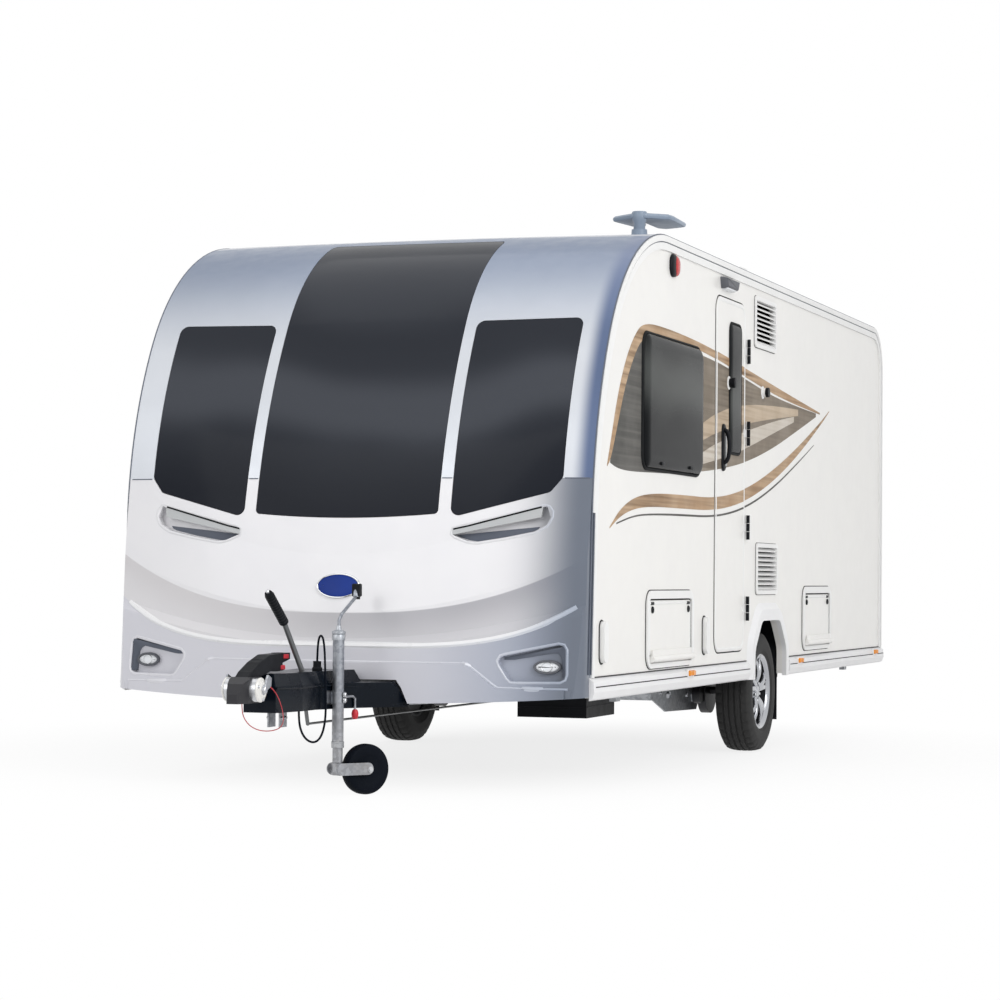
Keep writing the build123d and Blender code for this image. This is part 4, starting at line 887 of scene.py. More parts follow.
class Paints:
    """Every finish on the caravan, in a maker's plain words."""

    side = Finish(
        "side_gelcoat", (0.80, 0.79, 0.765), (0.785, 0.775, 0.755), 0.36, coat=0.2, grain=0.04, film_top=0.9
    )
    # Its band, foot and turn colours are painted shade and a painted dark corner reflection.
    front_low = FrontMoulding(
        "front_moulding", (0.76, 0.755, 0.775), (0.74, 0.735, 0.76), 0.32, coat=0.4, grain=0.03, film_top=0.7
    )
    rear = Finish(
        "rear_moulding", (0.76, 0.755, 0.765), (0.74, 0.735, 0.75), 0.34, coat=0.3, grain=0.04, film_top=0.7
    )
    # Its turn colour is a painted dark reflection at the entry side's corner.
    front_high = ShadedPaint(
        "front_silver", (0.62, 0.645, 0.69), (0.60, 0.625, 0.67), 0.34, 0.30, coat=0.2, grain=0.03, film=0.0,
        high_color=(0.11, 0.155, 0.25), from_z=1.85, to_z=2.44, turn=(0.09, 0.13, 0.24),
    )
    roof = Finish("roof_sheet", (0.50, 0.52, 0.56), (0.46, 0.48, 0.52), 0.45, coat=0.1, grain=0.06, film=0.0)
    # Pale finish that paints the long front crease's highlight, also worn by the rear borders.
    ridge = moulded(
        "moulded_ridge_highlight", (0.80, 0.80, 0.81), (0.78, 0.78, 0.795), (0.76, 0.765, 0.78), (0.76, 0.765, 0.78),
        (0.66, 0.68, 0.73), (0.36, 0.40, 0.48),
    )
    # Lips and the chin ridge, with the moulding's painted shade and dark corner reflection.
    lip = moulded(
        "moulded_lip", (0.70, 0.70, 0.72), (0.68, 0.68, 0.70), (0.66, 0.66, 0.68), (0.66, 0.66, 0.70),
        (0.50, 0.53, 0.60), (0.30, 0.34, 0.42),
    )
    # Dark joints and grooves, and painted shade in the grip and lamp pockets.
    joint_and_pocket_shade = Finish("dark_joint_and_pocket_shade", (0.10, 0.115, 0.15), (0.12, 0.135, 0.17), 0.5, film=0.0, specular=0.3)
    trim = Finish("trim_satin", (0.80, 0.80, 0.795), (0.78, 0.78, 0.775), 0.4, grain=0.08, film_top=0.7)
    skirt = Finish("skirt_satin", (0.79, 0.79, 0.80), (0.77, 0.77, 0.78), 0.4, film_top=0.6, film=0.06)
    # Painted shadow lines round locker frames, vents and pads, and along the skirts.
    shadow_line = Finish(
        "shadow_line", (0.035, 0.035, 0.037), (0.05, 0.05, 0.052), 0.7, film=0.0, specular=0.05
    )
    mesh = Finish(
        "vent_gauze", (0.14, 0.135, 0.125), (0.20, 0.19, 0.18), 0.7, grain=0.6, grain_scale=420.0,
        grain_deep=0.001,
    )
    black = Finish(
        "black_moulding", (0.006, 0.007, 0.009), (0.010, 0.011, 0.014), 0.45, grain=0.25, grain_deep=0.0003,
        film=0.01, specular=0.10,
    )
    cover = Finish(
        "cover_moulding", (0.002, 0.004, 0.008), (0.003, 0.006, 0.011), 0.25, grain=0.08, film=0.006,
        specular=0.12,
    )
    steel_black = Finish("black_steel", (0.022, 0.022, 0.026), (0.032, 0.032, 0.036), 0.36, 0.3, grain=0.2)
    brake_steel = Finish("brake_lever_steel", (0.16, 0.165, 0.17), (0.12, 0.125, 0.13), 0.4, 0.7, grain=0.15)
    rubber = Finish(
        "rubber", (0.002, 0.004, 0.008), (0.004, 0.006, 0.011), 0.6, grain=0.2, grain_deep=0.0003, film=0.01,
        specular=0.05,
    )
    # Rubber seals and seams, and the painted shadow line over the grip bars.
    seal = Finish(
        "seal_rubber_and_shadow_line", (0.010, 0.011, 0.012), (0.016, 0.017, 0.018), 0.6, grain=0.15, film=0.0, specular=0.05
    )
    tyre = Finish(
        "tyre_rubber", (0.005, 0.006, 0.008), (0.009, 0.010, 0.012), 0.66, grain=0.3, grain_deep=0.0004,
        film=0.014, specular=0.06,
    )
    zinc = Finish("bright_zinc", (0.66, 0.67, 0.69), (0.52, 0.53, 0.55), 0.26, 0.95, grain=0.12)
    alloy = Finish(
        "machined_alloy", (0.50, 0.51, 0.53), (0.40, 0.41, 0.44), 0.22, 0.9, coat=0.2, grain=0.05, film=0.02
    )
    alloy_dark = Finish(
        "alloy_pocket_paint", (0.010, 0.011, 0.013), (0.018, 0.019, 0.022), 0.5, 0.1, film=0.01, specular=0.08
    )
    chrome = Finish("bright_plate", (0.75, 0.76, 0.77), (0.70, 0.71, 0.72), 0.1, 1.0, grain=0.03)
    cream = Finish("enamelled_plate", (0.80, 0.79, 0.76), (0.74, 0.73, 0.70), 0.3, coat=0.4, grain=0.05)
    board = Finish(
        "underbody_board", (0.05, 0.05, 0.052), (0.07, 0.068, 0.066), 0.85, grain=0.5, grain_scale=300.0,
        grain_deep=0.001, film=0.2,
    )
    furniture = Finish("furniture_board", (0.46, 0.40, 0.33), (0.40, 0.34, 0.27), 0.5, grain=0.2, film=0.0)
    aerial = Finish(
        "aerial_moulding", (0.23, 0.285, 0.36), (0.20, 0.25, 0.33), 0.4, coat=0.1, film=0.0, specular=0.3
    )
    grip = Finish("grip_silver", (0.24, 0.25, 0.27), (0.17, 0.18, 0.20), 0.28, 0.5, coat=0.1, specular=0.3)
    red_sheath = Finish("red_cable_sheath", (0.55, 0.015, 0.03), (0.45, 0.012, 0.025), 0.35, coat=0.3)
    red_pad = Finish("red_plastic", (0.60, 0.015, 0.03), (0.50, 0.012, 0.025), 0.4)
    badge = Finish("badge_blue", (0.006, 0.028, 0.20), (0.008, 0.036, 0.25), 0.35, film=0.0, specular=0.15)
    lamp_grey = Finish("lamp_housing", (0.11, 0.115, 0.13), (0.14, 0.145, 0.16), 0.45, film=0.0, specular=0.1)
    plate = Finish("blank_plate_sheet", (0.78, 0.62, 0.10), (0.76, 0.60, 0.09), 0.35, coat=0.4)
    foil_dark = foil("film_charcoal", (0.080, 0.079, 0.074), (0.105, 0.102, 0.096), (0.15, 0.145, 0.135))
    foil_taupe = foil("film_taupe", (0.215, 0.180, 0.142), (0.275, 0.235, 0.190), (0.12, 0.096, 0.072))
    foil_bronze = foil("film_bronze", (0.42, 0.275, 0.165), (0.52, 0.375, 0.250), (0.13, 0.078, 0.042))
    foil_sand = foil("film_sand", (0.50, 0.40, 0.295), (0.58, 0.48, 0.37), (0.24, 0.17, 0.11))
    foil_pale = foil("film_pale", (0.58, 0.53, 0.46), (0.64, 0.59, 0.53), (0.36, 0.30, 0.235))
    zinc_hot = Galvanised()
    jockey_zinc = Galvanised("dull_jockey_zinc", (0.38, 0.40, 0.44), (0.24, 0.255, 0.285), 0.36)
    # The second colour of each glass is its painted reflection.
    glass = Glass("tinted_window", (0.014, 0.016, 0.022), (0.060, 0.065, 0.077))
    side_glass = Glass(
        "tinted_side_window", (0.010, 0.011, 0.012), (0.062, 0.066, 0.064), 0.2, 0.03,
        (1.52, 1.72, 1.74, 1.98), 0.25,
    )
    amber = Lens("amber_lens", (0.85, 0.30, 0.02), (0.45, 0.10, 0.01))
    red = Lens("red_lens", (0.50, 0.012, 0.012), (0.20, 0.004, 0.004))
    clear = Lens("clear_lens", (0.24, 0.245, 0.26), (0.03, 0.032, 0.04), coat=0.12, specular=0.12)


class NodeFinishes:
    """Which finish each visible CAD node wears."""

    ENDS = tuple(f"{side}_{end}" for side in ("left", "right") for end in ("front", "rear"))
    LOCKERS = tuple(f"locker_door_{end}" for end in ENDS)
    LEGS = tuple(f"steady_leg_{end}" for end in ENDS)
    ROWS = (
        (Paints.side, ("side_wall_left", "side_wall_right", "entry_door", *LOCKERS)),
        (Paints.front_low, ("front_lower_panel",)),
        (Paints.rear, ("rear_panel",)),
        (Paints.front_high, ("front_upper_panel",)),
        (Paints.roof, ("roof_panel",)),
        (Paints.trim, ("awning_rails", "locker_frames", "side_vents", "pads_and_grips")),
        (Paints.trim, ("door_wall_fittings", "door_hinge_straps")),
        (Paints.skirt, ("side_skirts", "wheel_arch_lips")),
        (Paints.black, ("wheel_boxes", "door_handle_and_knob", "stabiliser_handle", "cable_plug")),
        (Paints.black, ("underfloor_fittings",)),
        (Paints.cover, ("drawbar_cover",)),
        (Paints.glass, ("front_windows",)),
        (Paints.side_glass, ("side_windows", "door_window")),
        (Paints.board, ("floor",)),
        (Paints.furniture, ("cabin_furniture",)),
        (Paints.steel_black, ("suspension_arms", "coupling_head", *LEGS)),
        (Paints.zinc_hot, ("chassis_frame", "drawbar_rails", "axle_beam", "steady_brackets")),
        (Paints.zinc_hot, ("overrun_housing",)),
        (Paints.jockey_zinc, ("jockey_fork", "jockey_outer_tube", "jockey_clamp", "jockey_inner_tube")),
        (Paints.brake_steel, ("handbrake_and_rod",)),
        (Paints.zinc, ("friction_discs",)),
        (Paints.rubber, ("jockey_wheel", "electrical_cable")),
        (Paints.red_sheath, ("breakaway_cable",)),
        (Paints.tyre, ("road_wheel_left_tyre", "road_wheel_right_tyre")),
        (Paints.alloy, ("road_wheel_left_rim", "road_wheel_right_rim")),
        (Paints.aerial, ("roof_fittings",)),
        (Paints.grip, ("front_grips",)),
        (Paints.amber, ("side_marker_lamps",)),
        (Paints.red, ("rear_lamps", "upper_lamps")),
        (Paints.clear, ("front_lamps",)),
    )

    def build(self) -> None:
        """Put each finish on its nodes and report any node left without one."""
        left = set(NODES)
        for finish, names in self.ROWS:
            for name in names:
                NODES[name].data.materials.clear()
                NODES[name].data.materials.append(finish.material())
                left.discard(name)
            LOG.info("%s on %d nodes", finish.name, len(names))
        if left:
            LOG.warning("no finish for %s", sorted(left))


# ------------------------------ putting pieces in the scene
OWN_SLOT = "the finish's own slot"
SLOTS = {
    Paints.seal: "rubber_black",
    Paints.rubber: "rubber_black",
    Paints.black: "black_plastic",
    Paints.cover: "black_plastic",
    Paints.trim: "trim_white",
    Paints.ridge: "front_panel_white",
    Paints.lip: "front_panel_white",
    Paints.side_glass: "dark_glass",
    Paints.zinc: "zinc_silver",
    Paints.zinc_hot: "galvanised_steel",
    Paints.grip: "grip_silver",
    Paints.alloy: "alloy_silver",
    Paints.tyre: "tyre_rubber",
    Paints.aerial: "aerial_grey",
    Paints.amber: "amber_lens",
    Paints.red: "red_lens",
    Paints.clear: "lamp_lens",
}


def linked(name: str, data: bpy.types.ID) -> bpy.types.Object:
    """A new object with its data, linked to the scene."""
    obj = bpy.data.objects.new(name, data)
    bpy.context.scene.collection.objects.link(obj)
    return obj


def piece(
    name: str,
    surf: Surf | Sequence[Surf],
    finish: Recipe,
    body: str = "body",
    slot: Optional[str] = OWN_SLOT,
    replaces: Sequence[str] = (),
    smooth_angle: float = 35.0,
) -> None:
    """Make one object of the caravan from a surface, or from several joined.

    Args:
        name: Plain piece name.
        surf: Its surfaces, in place.
        finish: Its finish.
        body: CAD body that it rides on.
        slot: Material slot of the record, where it isn't the finish's own; None for no slot. Not used.
        replaces: CAD nodes that it stands for.
        smooth_angle: Edges flatter than this many degrees are shaded smooth.
    """
    surf = surf if isinstance(surf, Surf) else joined(surf)
    mesh = bpy.data.meshes.new(name)
    mesh.from_pydata(surf.verts.tolist(), [], surf.quads.tolist() + surf.caps)
    mesh.validate()
    mesh.materials.append(finish.material())
    mesh.shade_smooth()
    mesh.set_sharp_from_angle(angle=math.radians(smooth_angle))
    obj = linked(name, mesh)
    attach(obj, body)
    slot = SLOTS.get(finish) if slot == OWN_SLOT else slot
    if replaces:
        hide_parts(*replaces)
    LOG.info("%s: %d points on %s", name, len(surf.verts), body)


# ------------------------------ side fittings
def yd(d: float) -> float:
    """Y of a distance in millimetres behind the front reference line."""
    return FRONT_Y + d / 1000


def side_loop(box: Box, radius: float, side: int = 1, grow: float = 0.0) -> np.ndarray:
    """Rounded rectangle on a side wall, in that wall's own axes.

    Args:
        box: Front, rear, bottom and top in millimetres.
        radius: Corner radius in millimetres.
        side: 1 on the entry side, -1 on the far side.
        grow: Metres added all round.

    Returns:
        The anticlockwise loop.
    """
    a = sorted((side * yd(box[0]), side * yd(box[1])))
    z0, z1 = box[2] / 1000, box[3] / 1000
    return box_loop(a[0] - grow, a[1] + grow, z0 - grow, z1 + grow, radius / 1000 + grow)


def side_plate(
    box: Box, radius: float, profile: Rows, height: float = HALF, side: int = 1, grow: float = 0.0,
    filled: bool = True,
) -> Surf:
    """A profile carried round a rounded rectangle on a side wall.

    Args:
        box: Front, rear, bottom and top in millimetres.
        radius: Corner radius in millimetres.
        profile: (outward offset, height) rows.
        height: Distance of the profile's zero from the middle of the caravan.
        side: 1 on the entry side, -1 on the far side.
        grow: Metres added all round.
        filled: Whether the middle is closed.

    Returns:
        The surface.
    """
    return SIDES[side].put(carried(side_loop(box, radius, side, grow), profile, filled), height)


def side_ring(
    box: Box, radius: float, width: float, rise: float, height: float = HALF, side: int = 1, grow: float = 0.0
) -> Surf:
    """A half-round bead of a width and a rise, round the same rectangle as side_plate() takes."""
    return side_plate(box, radius, bead(width, rise), height, side, grow, filled=False)


def body_arc(centre: Sequence[float], radius: float, start: float, stop: float, count: int) -> np.ndarray:
    """Arc in (d, z) with its angles in degrees."""
    t = np.radians(np.linspace(start, stop, count))
    return np.stack([centre[0] + radius * np.cos(t), centre[1] + radius * np.sin(t)], 1)


def body_edge(inset: float) -> np.ndarray:
    """Side outline of the body in (d, z) millimetres, from the front foot over to the rear foot.

    A leaning foot line, a brow arc turning from 2.5 to 30 degrees of lean, a roof arc that meets
    it and the flat roof, and a rear top corner.

    Args:
        inset: Millimetres that the path lies inside the outline.

    Returns:
        Array of (d, z) points.
    """
    lean, knee, foot_z, roof_z = 2.5, 30.0, 500.0, 2485.0
    brow_start, brow_r, rear_r = (63.0, 1150.0), 1785.0, 270.0
    low, high = math.radians(lean), math.radians(knee)
    middle = (brow_start[0] + brow_r * math.cos(low), brow_start[1] - brow_r * math.sin(low))
    brow = body_arc(middle, brow_r - inset, 180 - lean, 180 - knee, 24)
    end = (middle[0] - brow_r * math.cos(high), middle[1] + brow_r * math.sin(high))
    radius = (roof_z - end[1]) / (1 - math.sin(high))
    centre = (end[0] + radius * math.cos(high), roof_z - radius)
    roof = body_arc(centre, radius - inset, 180 - knee, 90.0, 20)
    rear = body_arc((BODY_D - rear_r, roof_z - rear_r), rear_r - inset, 90.0, 0.0, 12)
    return np.concatenate([[[30.0 + inset, foot_z]], brow, roof[1:], rear, [[BODY_D - inset, foot_z]]])


def on_side(path: np.ndarray, out: float, side: int) -> np.ndarray:
    """A (d, z) path in millimetres as points on a side, that far outside the wall."""
    x = np.full(len(path), side * (HALF + out))
    return np.stack([x, FRONT_Y + path[:, 0] / 1000, path[:, 1] / 1000], 1)


@dataclass(frozen=True)
class BowedWindow:
    """An opening acrylic window that bulges out of its rubber seal."""

    box: Box
    side: int = 1
    radius: float = 60.0
    rise: float = 0.030

    def pane(self) -> Surf:
        """The bulging pane: it climbs from its edge and flattens over its middle."""
        return side_plate(self.box, self.radius, dome(self.rise, 0.9 * self.radius / 1000), HALF, self.side)

    def seal(self) -> Surf:
        """The rubber round it."""
        return side_ring(self.box, self.radius, 0.016, 0.011, HALF, self.side, 0.006)

    def covers(self) -> Surf:
        """Two small stay covers low on the pane."""
        d0, d1, z, _ = self.box
        mids = (d0 + (d1 - d0) / 4, d1 - (d1 - d0) / 4)
        face = HALF + self.rise - 0.002
        boxes = [(mid - 26, mid + 26, z + 14, z + 30) for mid in mids]
        return joined([side_plate(box, 7.0, pad(0.006, 0.003), face, self.side) for box in boxes])


@dataclass(frozen=True)
class SideWindows:
    """The windows of both sides."""

    windows: tuple[BowedWindow, ...] = (
        BowedWindow((815, 1800, 1405, 2005)),
        BowedWindow((815, 1800, 1405, 2005), -1),
        BowedWindow((2350, 3250, 1405, 1905), -1),
        BowedWindow((4255, 5155, 1405, 2005), -1),
    )

    def build(self) -> None:
        """Make the panes, the seals and the stay covers."""
        piece("side_panes", [w.pane() for w in self.windows], Paints.side_glass, replaces=["side_windows"])
        piece("side_window_seals", [w.seal() for w in self.windows], Paints.seal)
        piece("window_stay_covers", [w.covers() for w in self.windows], Paints.black, slot=None)


@dataclass(frozen=True)
class EntryDoor:
    """Trim, window, handle and hinge details of the entry door."""

    leaf: Box = (*DOOR_D, 545.0, 2303.0)
    window: Box = (2360, 2580, 1540, 2185)
    handle: Box = (2205, 2275, 1440, 1675)
    face: float = HALF + 0.004
    catch_at: tuple[float, float] = (2345.0, 3071.0)  # d on the door and on the wall
    catch_z: float = 1.885
    hinge_at: float = 2708.0
    hinges: tuple[float, ...] = (0.756, 1.170, 1.650, 2.070)

    def build(self) -> None:
        """Make the pieces that swing with the door, and what it meets on the wall."""
        door, face = "entry_door", self.face
        edge = side_ring(self.leaf, 75.0, 0.018, 0.003, face, grow=-0.013)
        piece("door_edge_trim", edge, Paints.trim, door)
        gasket = side_ring(self.leaf, 75.0, 0.0055, 0.0030, HALF - 0.001, grow=0.0048)
        piece("door_gasket", gasket, Paints.seal)
        pane = side_plate(self.window, 40.0, dome(0.016, 0.036), face - 0.004)
        piece("door_pane", pane, Paints.side_glass, door, replaces=["door_window"])
        seal = side_ring(self.window, 40.0, 0.013, 0.008, face, grow=0.005)
        piece("door_window_seal", seal, Paints.seal, door)
        self._handle()
        self._catch()
        self._hinges()

    def _handle(self) -> None:
        """Escutcheon, bowed pull, catch knob and lock barrel."""
        d0, d1, z0, z1 = self.handle
        y, out = yd(d0 + 23), self.face
        bow = [(0.004, y, 1.478), (0.030, y, 1.492), (0.039, y, 1.56), (0.030, y, 1.634), (0.004, y, 1.648)]
        pull = tube(smooth_path(bow, 28) + np.array([out, 0.0, 0.0]), 0.0105, 14)
        plate = side_plate(self.handle, 34.0, dome(0.012, 0.014), out)
        parts = [plate, pull, self._knob(out, self.catch_at[0])]
        piece("door_handle", parts, Paints.black, "entry_door", replaces=["door_handle_and_knob"])
        rows = [(0.0, 0.0), (0.011, 0.0), (0.011, 0.004), (0.009, 0.006), (0.0, 0.006)]
        lock = spun(rows, (out + 0.010, yd(d1 - 22), 1.475), (1, 0, 0))
        inset = side_plate((d0 + 38, d1 - 8, z0 + 60, z1 - 60), 10.0, pad(0.003, 0.002), out + 0.011)
        piece("door_lock_barrel", [lock, inset], Paints.grip, "entry_door")

    def _knob(self, foot: float, d: float) -> Surf:
        """Round catch knob with a waist."""
        rows = [(0.0, UNDER), (0.0235, UNDER), (0.0225, 0.010), (0.0235, 0.018), (0.026, 0.026),
                (0.025, 0.037), (0.0, 0.039)]
        return spun(rows, (foot, yd(d), self.catch_z), (1, 0, 0), 24)

    def _catch(self) -> None:
        """Pale cup under each knob, and the wall's knob."""
        rows = [(0.0, UNDER), (0.034, UNDER), (0.034, 0.004), (0.028, 0.007), (0.020, 0.006), (0.0, 0.006)]
        feet = zip((self.face, HALF), self.catch_at)
        cup, wall = (spun(rows, (foot, yd(d), self.catch_z), (1, 0, 0), 28) for foot, d in feet)
        piece("door_catch_cup", cup, Paints.trim, "entry_door")
        piece("wall_catch_cup", wall, Paints.trim)
        piece("wall_catch_knob", self._knob(HALF, self.catch_at[1]), Paints.black)

    def _hinges(self) -> None:
        """Three rolls at each hinge, the middle one on the door."""
        x, y, long = HALF + 0.018, yd(self.hinge_at), 0.040
        for name, body, starts in (("wall", "body", (-0.062, 0.022)), ("door", "entry_door", (-0.020,))):
            feet = [z + start for z in self.hinges for start in starts]
            rolls = [tube([(x, y, z), (x, y, z + long)], 0.0088, 12) for z in feet]
            piece(f"hinge_rolls_{name}", rolls, Paints.black, body)


@dataclass(frozen=True)
class LockerTrim:
    """Seal, raised border, painted shadow line round the frame and two turn locks of one locker door."""

    body: str
    box: Box
    side: int
    foot: float = 17.5
    margin: float = 0.0465

    def build(self) -> None:
        """Make the pieces."""
        face, side = HALF + 0.004, self.side
        d0, d1, z0, z1 = self.box
        frame = (d0, d1, z0 - self.foot, z1)
        border = side_ring(self.box, 22.0, 0.012, 0.0025, face, side, -0.012)
        piece(f"{self.body}_border", border, Paints.trim, self.body)
        # painted shadow: a dark line round the locker frame
        line = side_ring(frame, 22.0, 0.006, 0.003, HALF, side, self.margin)
        piece(f"{self.body}_frame_line", line, Paints.shadow_line, slot="rubber_black")
        gasket = side_ring(self.box, 22.0, 0.003, 0.002, HALF + 0.002, side, 0.0055)
        piece(f"{self.body}_gasket", gasket, Paints.seal)
        rows = [(0.0, UNDER), (0.016, UNDER), (0.016, 0.004), (0.013, 0.007), (0.006, 0.007),
                (0.005, 0.004), (0.0, 0.004)]
        mids, z, tab = (d0 + 48, d1 - 48), z1 / 1000 - 0.042, pad(0.004, 0.002)
        locks = [spun(rows, (side * face, yd(d), z), (side, 0, 0)) for d in mids]
        tabs = [side_plate((d - 26, d + 26, z1 - 20, z1 - 6), 6.0, tab, face, side) for d in mids]
        piece(f"{self.body}_locks", locks + tabs, Paints.black, self.body)


LOCKER_TRIMS = (
    LockerTrim("locker_left_front", (940, 1650, 562, 806), 1),
    LockerTrim("locker_left_rear", (4070, 4700, 575, 822), 1),
    LockerTrim("locker_right_front", (1000, 1540, 562, 806), -1),
    LockerTrim("locker_right_rear", (5100, 5520, 575, 900), -1),
)


@dataclass(frozen=True)
class SideTrim:
    """Dark grooves and small fittings along the sides.

    The grooves follow the side outline at two insets; the skirts carry a fine line.
    """

    grooves: tuple[float, ...] = (1.5, 34.5)
    vents: tuple[Box, ...] = ((2895, 3340, 2122, 2367), (2950, 3395, 838, 1083))
    skirt_runs: tuple[tuple[float, float], ...] = ((80, 2750), (3660, 6225))
    skirt_lines: tuple[tuple[float, float], ...] = ((0.0222, 447.0), (0.003, 487.5))  # out, z
    markers: tuple[float, ...] = (1530, 3825, 5900)
    pads: tuple[float, ...] = (190.0, 1880.0)

    def build(self) -> None:
        """Make the pieces."""
        edges = [body_edge(inset) for inset in self.grooves]
        rails = [tube(on_side(edge, 0.003, side), 0.0034, 6) for edge in edges for side in (1, -1)]
        piece("edge_grooves", rails, Paints.joint_and_pocket_shade, slot="rubber_black")
        lines = []
        for side in (1, -1):
            for d0, d1 in self.skirt_runs:
                for out, z in self.skirt_lines:
                    run = np.array([[d0, z], [(d0 + d1) / 2, z], [d1, z]])
                    lines.append(tube(on_side(run, out, side), 0.0024, 6))
        piece("skirt_lines", lines, Paints.shadow_line)
        backs = [side_plate(box, 10.0, pad(0.003, 0.001), HALF - 0.027, grow=-0.012) for box in self.vents]
        piece("vent_mesh", backs, Paints.mesh)
        rims = [side_ring(box, 14.0, 0.004, 0.002, grow=0.012) for box in self.vents]
        piece("vent_shadow_lines", rims, Paints.shadow_line)
        rims = [side_ring((d, d + 62, 545, 722), 30.0, 0.007, 0.004, grow=0.004) for d in self.pads]
        piece("pad_shadow_lines", rims, Paints.shadow_line)
        self._markers()

    def _markers(self) -> None:
        """Amber lamps with a pale bezel and a ribbed middle."""
        lens, bezels = [], []
        for side, d in [(side, d) for side in (1, -1) for d in self.markers]:
            for store, front, rear, low, high, radius, shape, out in (
                (lens, 5, 100, 449, 475, 6.0, dome(0.014, 0.006), 0.026),
                (lens, 38, 67, 451, 473, 4.0, dome(0.005, 0.004), 0.039),
                (bezels, -3, 108, 443, 481, 8.0, dome(0.006, 0.004), 0.022),
            ):
                box = (d + front, d + rear, low, high)
                store.append(side_plate(box, radius, shape, HALF + out, side))
        piece("marker_lenses", lens, Paints.amber, replaces=["side_marker_lamps"])
        piece("marker_bases", bezels, Paints.trim)


@dataclass(frozen=True)
class Blade:
    """One stripe of the side decoration between two smooth edges.

    Stations are (d, lower z, upper z) in millimetres; the edges are quadratic splines through
    them, read at even distances, so a stripe can be cut where the door begins.
    """

    name: str
    finish: Finish
    lift: float
    stations: tuple[Vec3, ...]

    def cut(self, d0: float, d1: float, side: int = 1, face: float = 0.0) -> list[Surf]:
        """The part of the stripe between two distances, as a thin film on a face.

        Args:
            d0: Front end of the part, in millimetres.
            d1: Its rear end.
            side: 1 on the entry side, -1 on the far side.
            face: How far the face stands out from the wall.

        Returns:
            The film in a list, or an empty list where the stripe doesn't reach.
        """
        rows = np.asarray(self.stations, float)
        edges = (np.column_stack([rows[:, 0], rows[:, k], 0 * rows[:, 0]]) for k in (1, 2))
        low, high = (smooth_path(edge, 80) for edge in edges)
        start, stop = max(d0, rows[0, 0]), min(d1, rows[-1, 0])
        if stop - start < 5:
            return []
        d = np.linspace(start, stop, max(3, int((stop - start) / 28)))
        z0, z1 = (np.interp(d, edge[:, 0], edge[:, 1]) for edge in (low, high))
        ends = np.stack([z0, np.maximum(z1, z0 + 0.5)])
        x = np.full(ends.shape, side * (HALF + face + self.lift))
        top = np.stack([x, np.broadcast_to(FRONT_Y + d / 1000, ends.shape), ends / 1000], -1)
        back = top - np.array([side * (self.lift + 0.0008), 0.0, 0.0])
        surf = grid(np.stack([top[0], top[1], back[1], back[0]]), wrap_u=True)
        count = len(d)
        surf.caps = [[k * count for k in range(4)], [k * count - 1 for k in (4, 3, 2, 1)]]
        return [surf if side > 0 else surf.flipped()]


@dataclass(frozen=True)
class SideDecoration:
    """Plain overlapping waves in bronze, taupe and charcoal along both sides, lowest film first."""

    blades: tuple[Blade, ...] = (
        Blade("charcoal_field", Paints.foil_dark, 0.0006, (
            (330, 1402, 1412), (420, 1385, 1560), (540, 1378, 1750), (680, 1378, 1895), (815, 1380, 1985),
            (1000, 1385, 2000), (1700, 1400, 1990), (1900, 1430, 1960), (2000, 1500, 1900),
        )),
        Blade("taupe_field", Paints.foil_taupe, 0.0009, (
            (1790, 1420, 1985), (2100, 1440, 1975), (2700, 1500, 1930), (3300, 1600, 1880),
            (3900, 1730, 1860), (4350, 1830, 1850),
        )),
        Blade("upper_wave", Paints.foil_bronze, 0.0014, (
            (285, 1385, 1392), (340, 1420, 1500), (430, 1565, 1690), (550, 1755, 1862), (690, 1900, 1985),
            (830, 1990, 2052), (1200, 2020, 2060), (1900, 2005, 2040), (2700, 1940, 1985), (3500, 1880, 1925),
            (4450, 1850, 1860),
        )),
        Blade("middle_wave", Paints.foil_sand, 0.0013, (
            (1790, 1560, 1640), (2200, 1640, 1740), (2700, 1700, 1800), (3300, 1760, 1830),
            (3900, 1810, 1845),
        )),
        Blade("pale_wave", Paints.foil_pale, 0.0013, (
            (1790, 1450, 1500), (2200, 1500, 1590), (2700, 1570, 1660), (3300, 1680, 1745),
            (3800, 1770, 1800),
        )),
        Blade("lower_wave", Paints.foil_bronze, 0.0013, (
            (330, 1120, 1126), (480, 1175, 1205), (700, 1215, 1265), (1000, 1232, 1292), (1500, 1235, 1300),
            (2100, 1240, 1300), (2700, 1300, 1360), (3300, 1420, 1480), (3900, 1590, 1635),
            (4500, 1800, 1815), (4700, 1880, 1884),
        )),
        Blade("fine_wave", Paints.foil_dark, 0.0013, (
            (430, 1140, 1146), (700, 1180, 1187), (1000, 1193, 1201), (1500, 1200, 1210), (2100, 1205, 1214),
            (2700, 1262, 1272), (3300, 1380, 1390), (3900, 1545, 1552), (4300, 1665, 1668),
        )),
    )

    def build(self) -> None:
        """Cut the stripes at the door and put each part on its own body."""
        d0, d1 = DOOR_D
        for blade in self.blades:
            walls = blade.cut(0, d0 - 8) + blade.cut(d1 + 8, 7000) + blade.cut(0, 7000, -1)
            piece(f"side_{blade.name}", walls, blade.finish)
            on_door = blade.cut(d0 + 2, d1 - 2, face=0.004)
            if on_door:
                piece(f"door_{blade.name}", on_door, blade.finish, "entry_door")


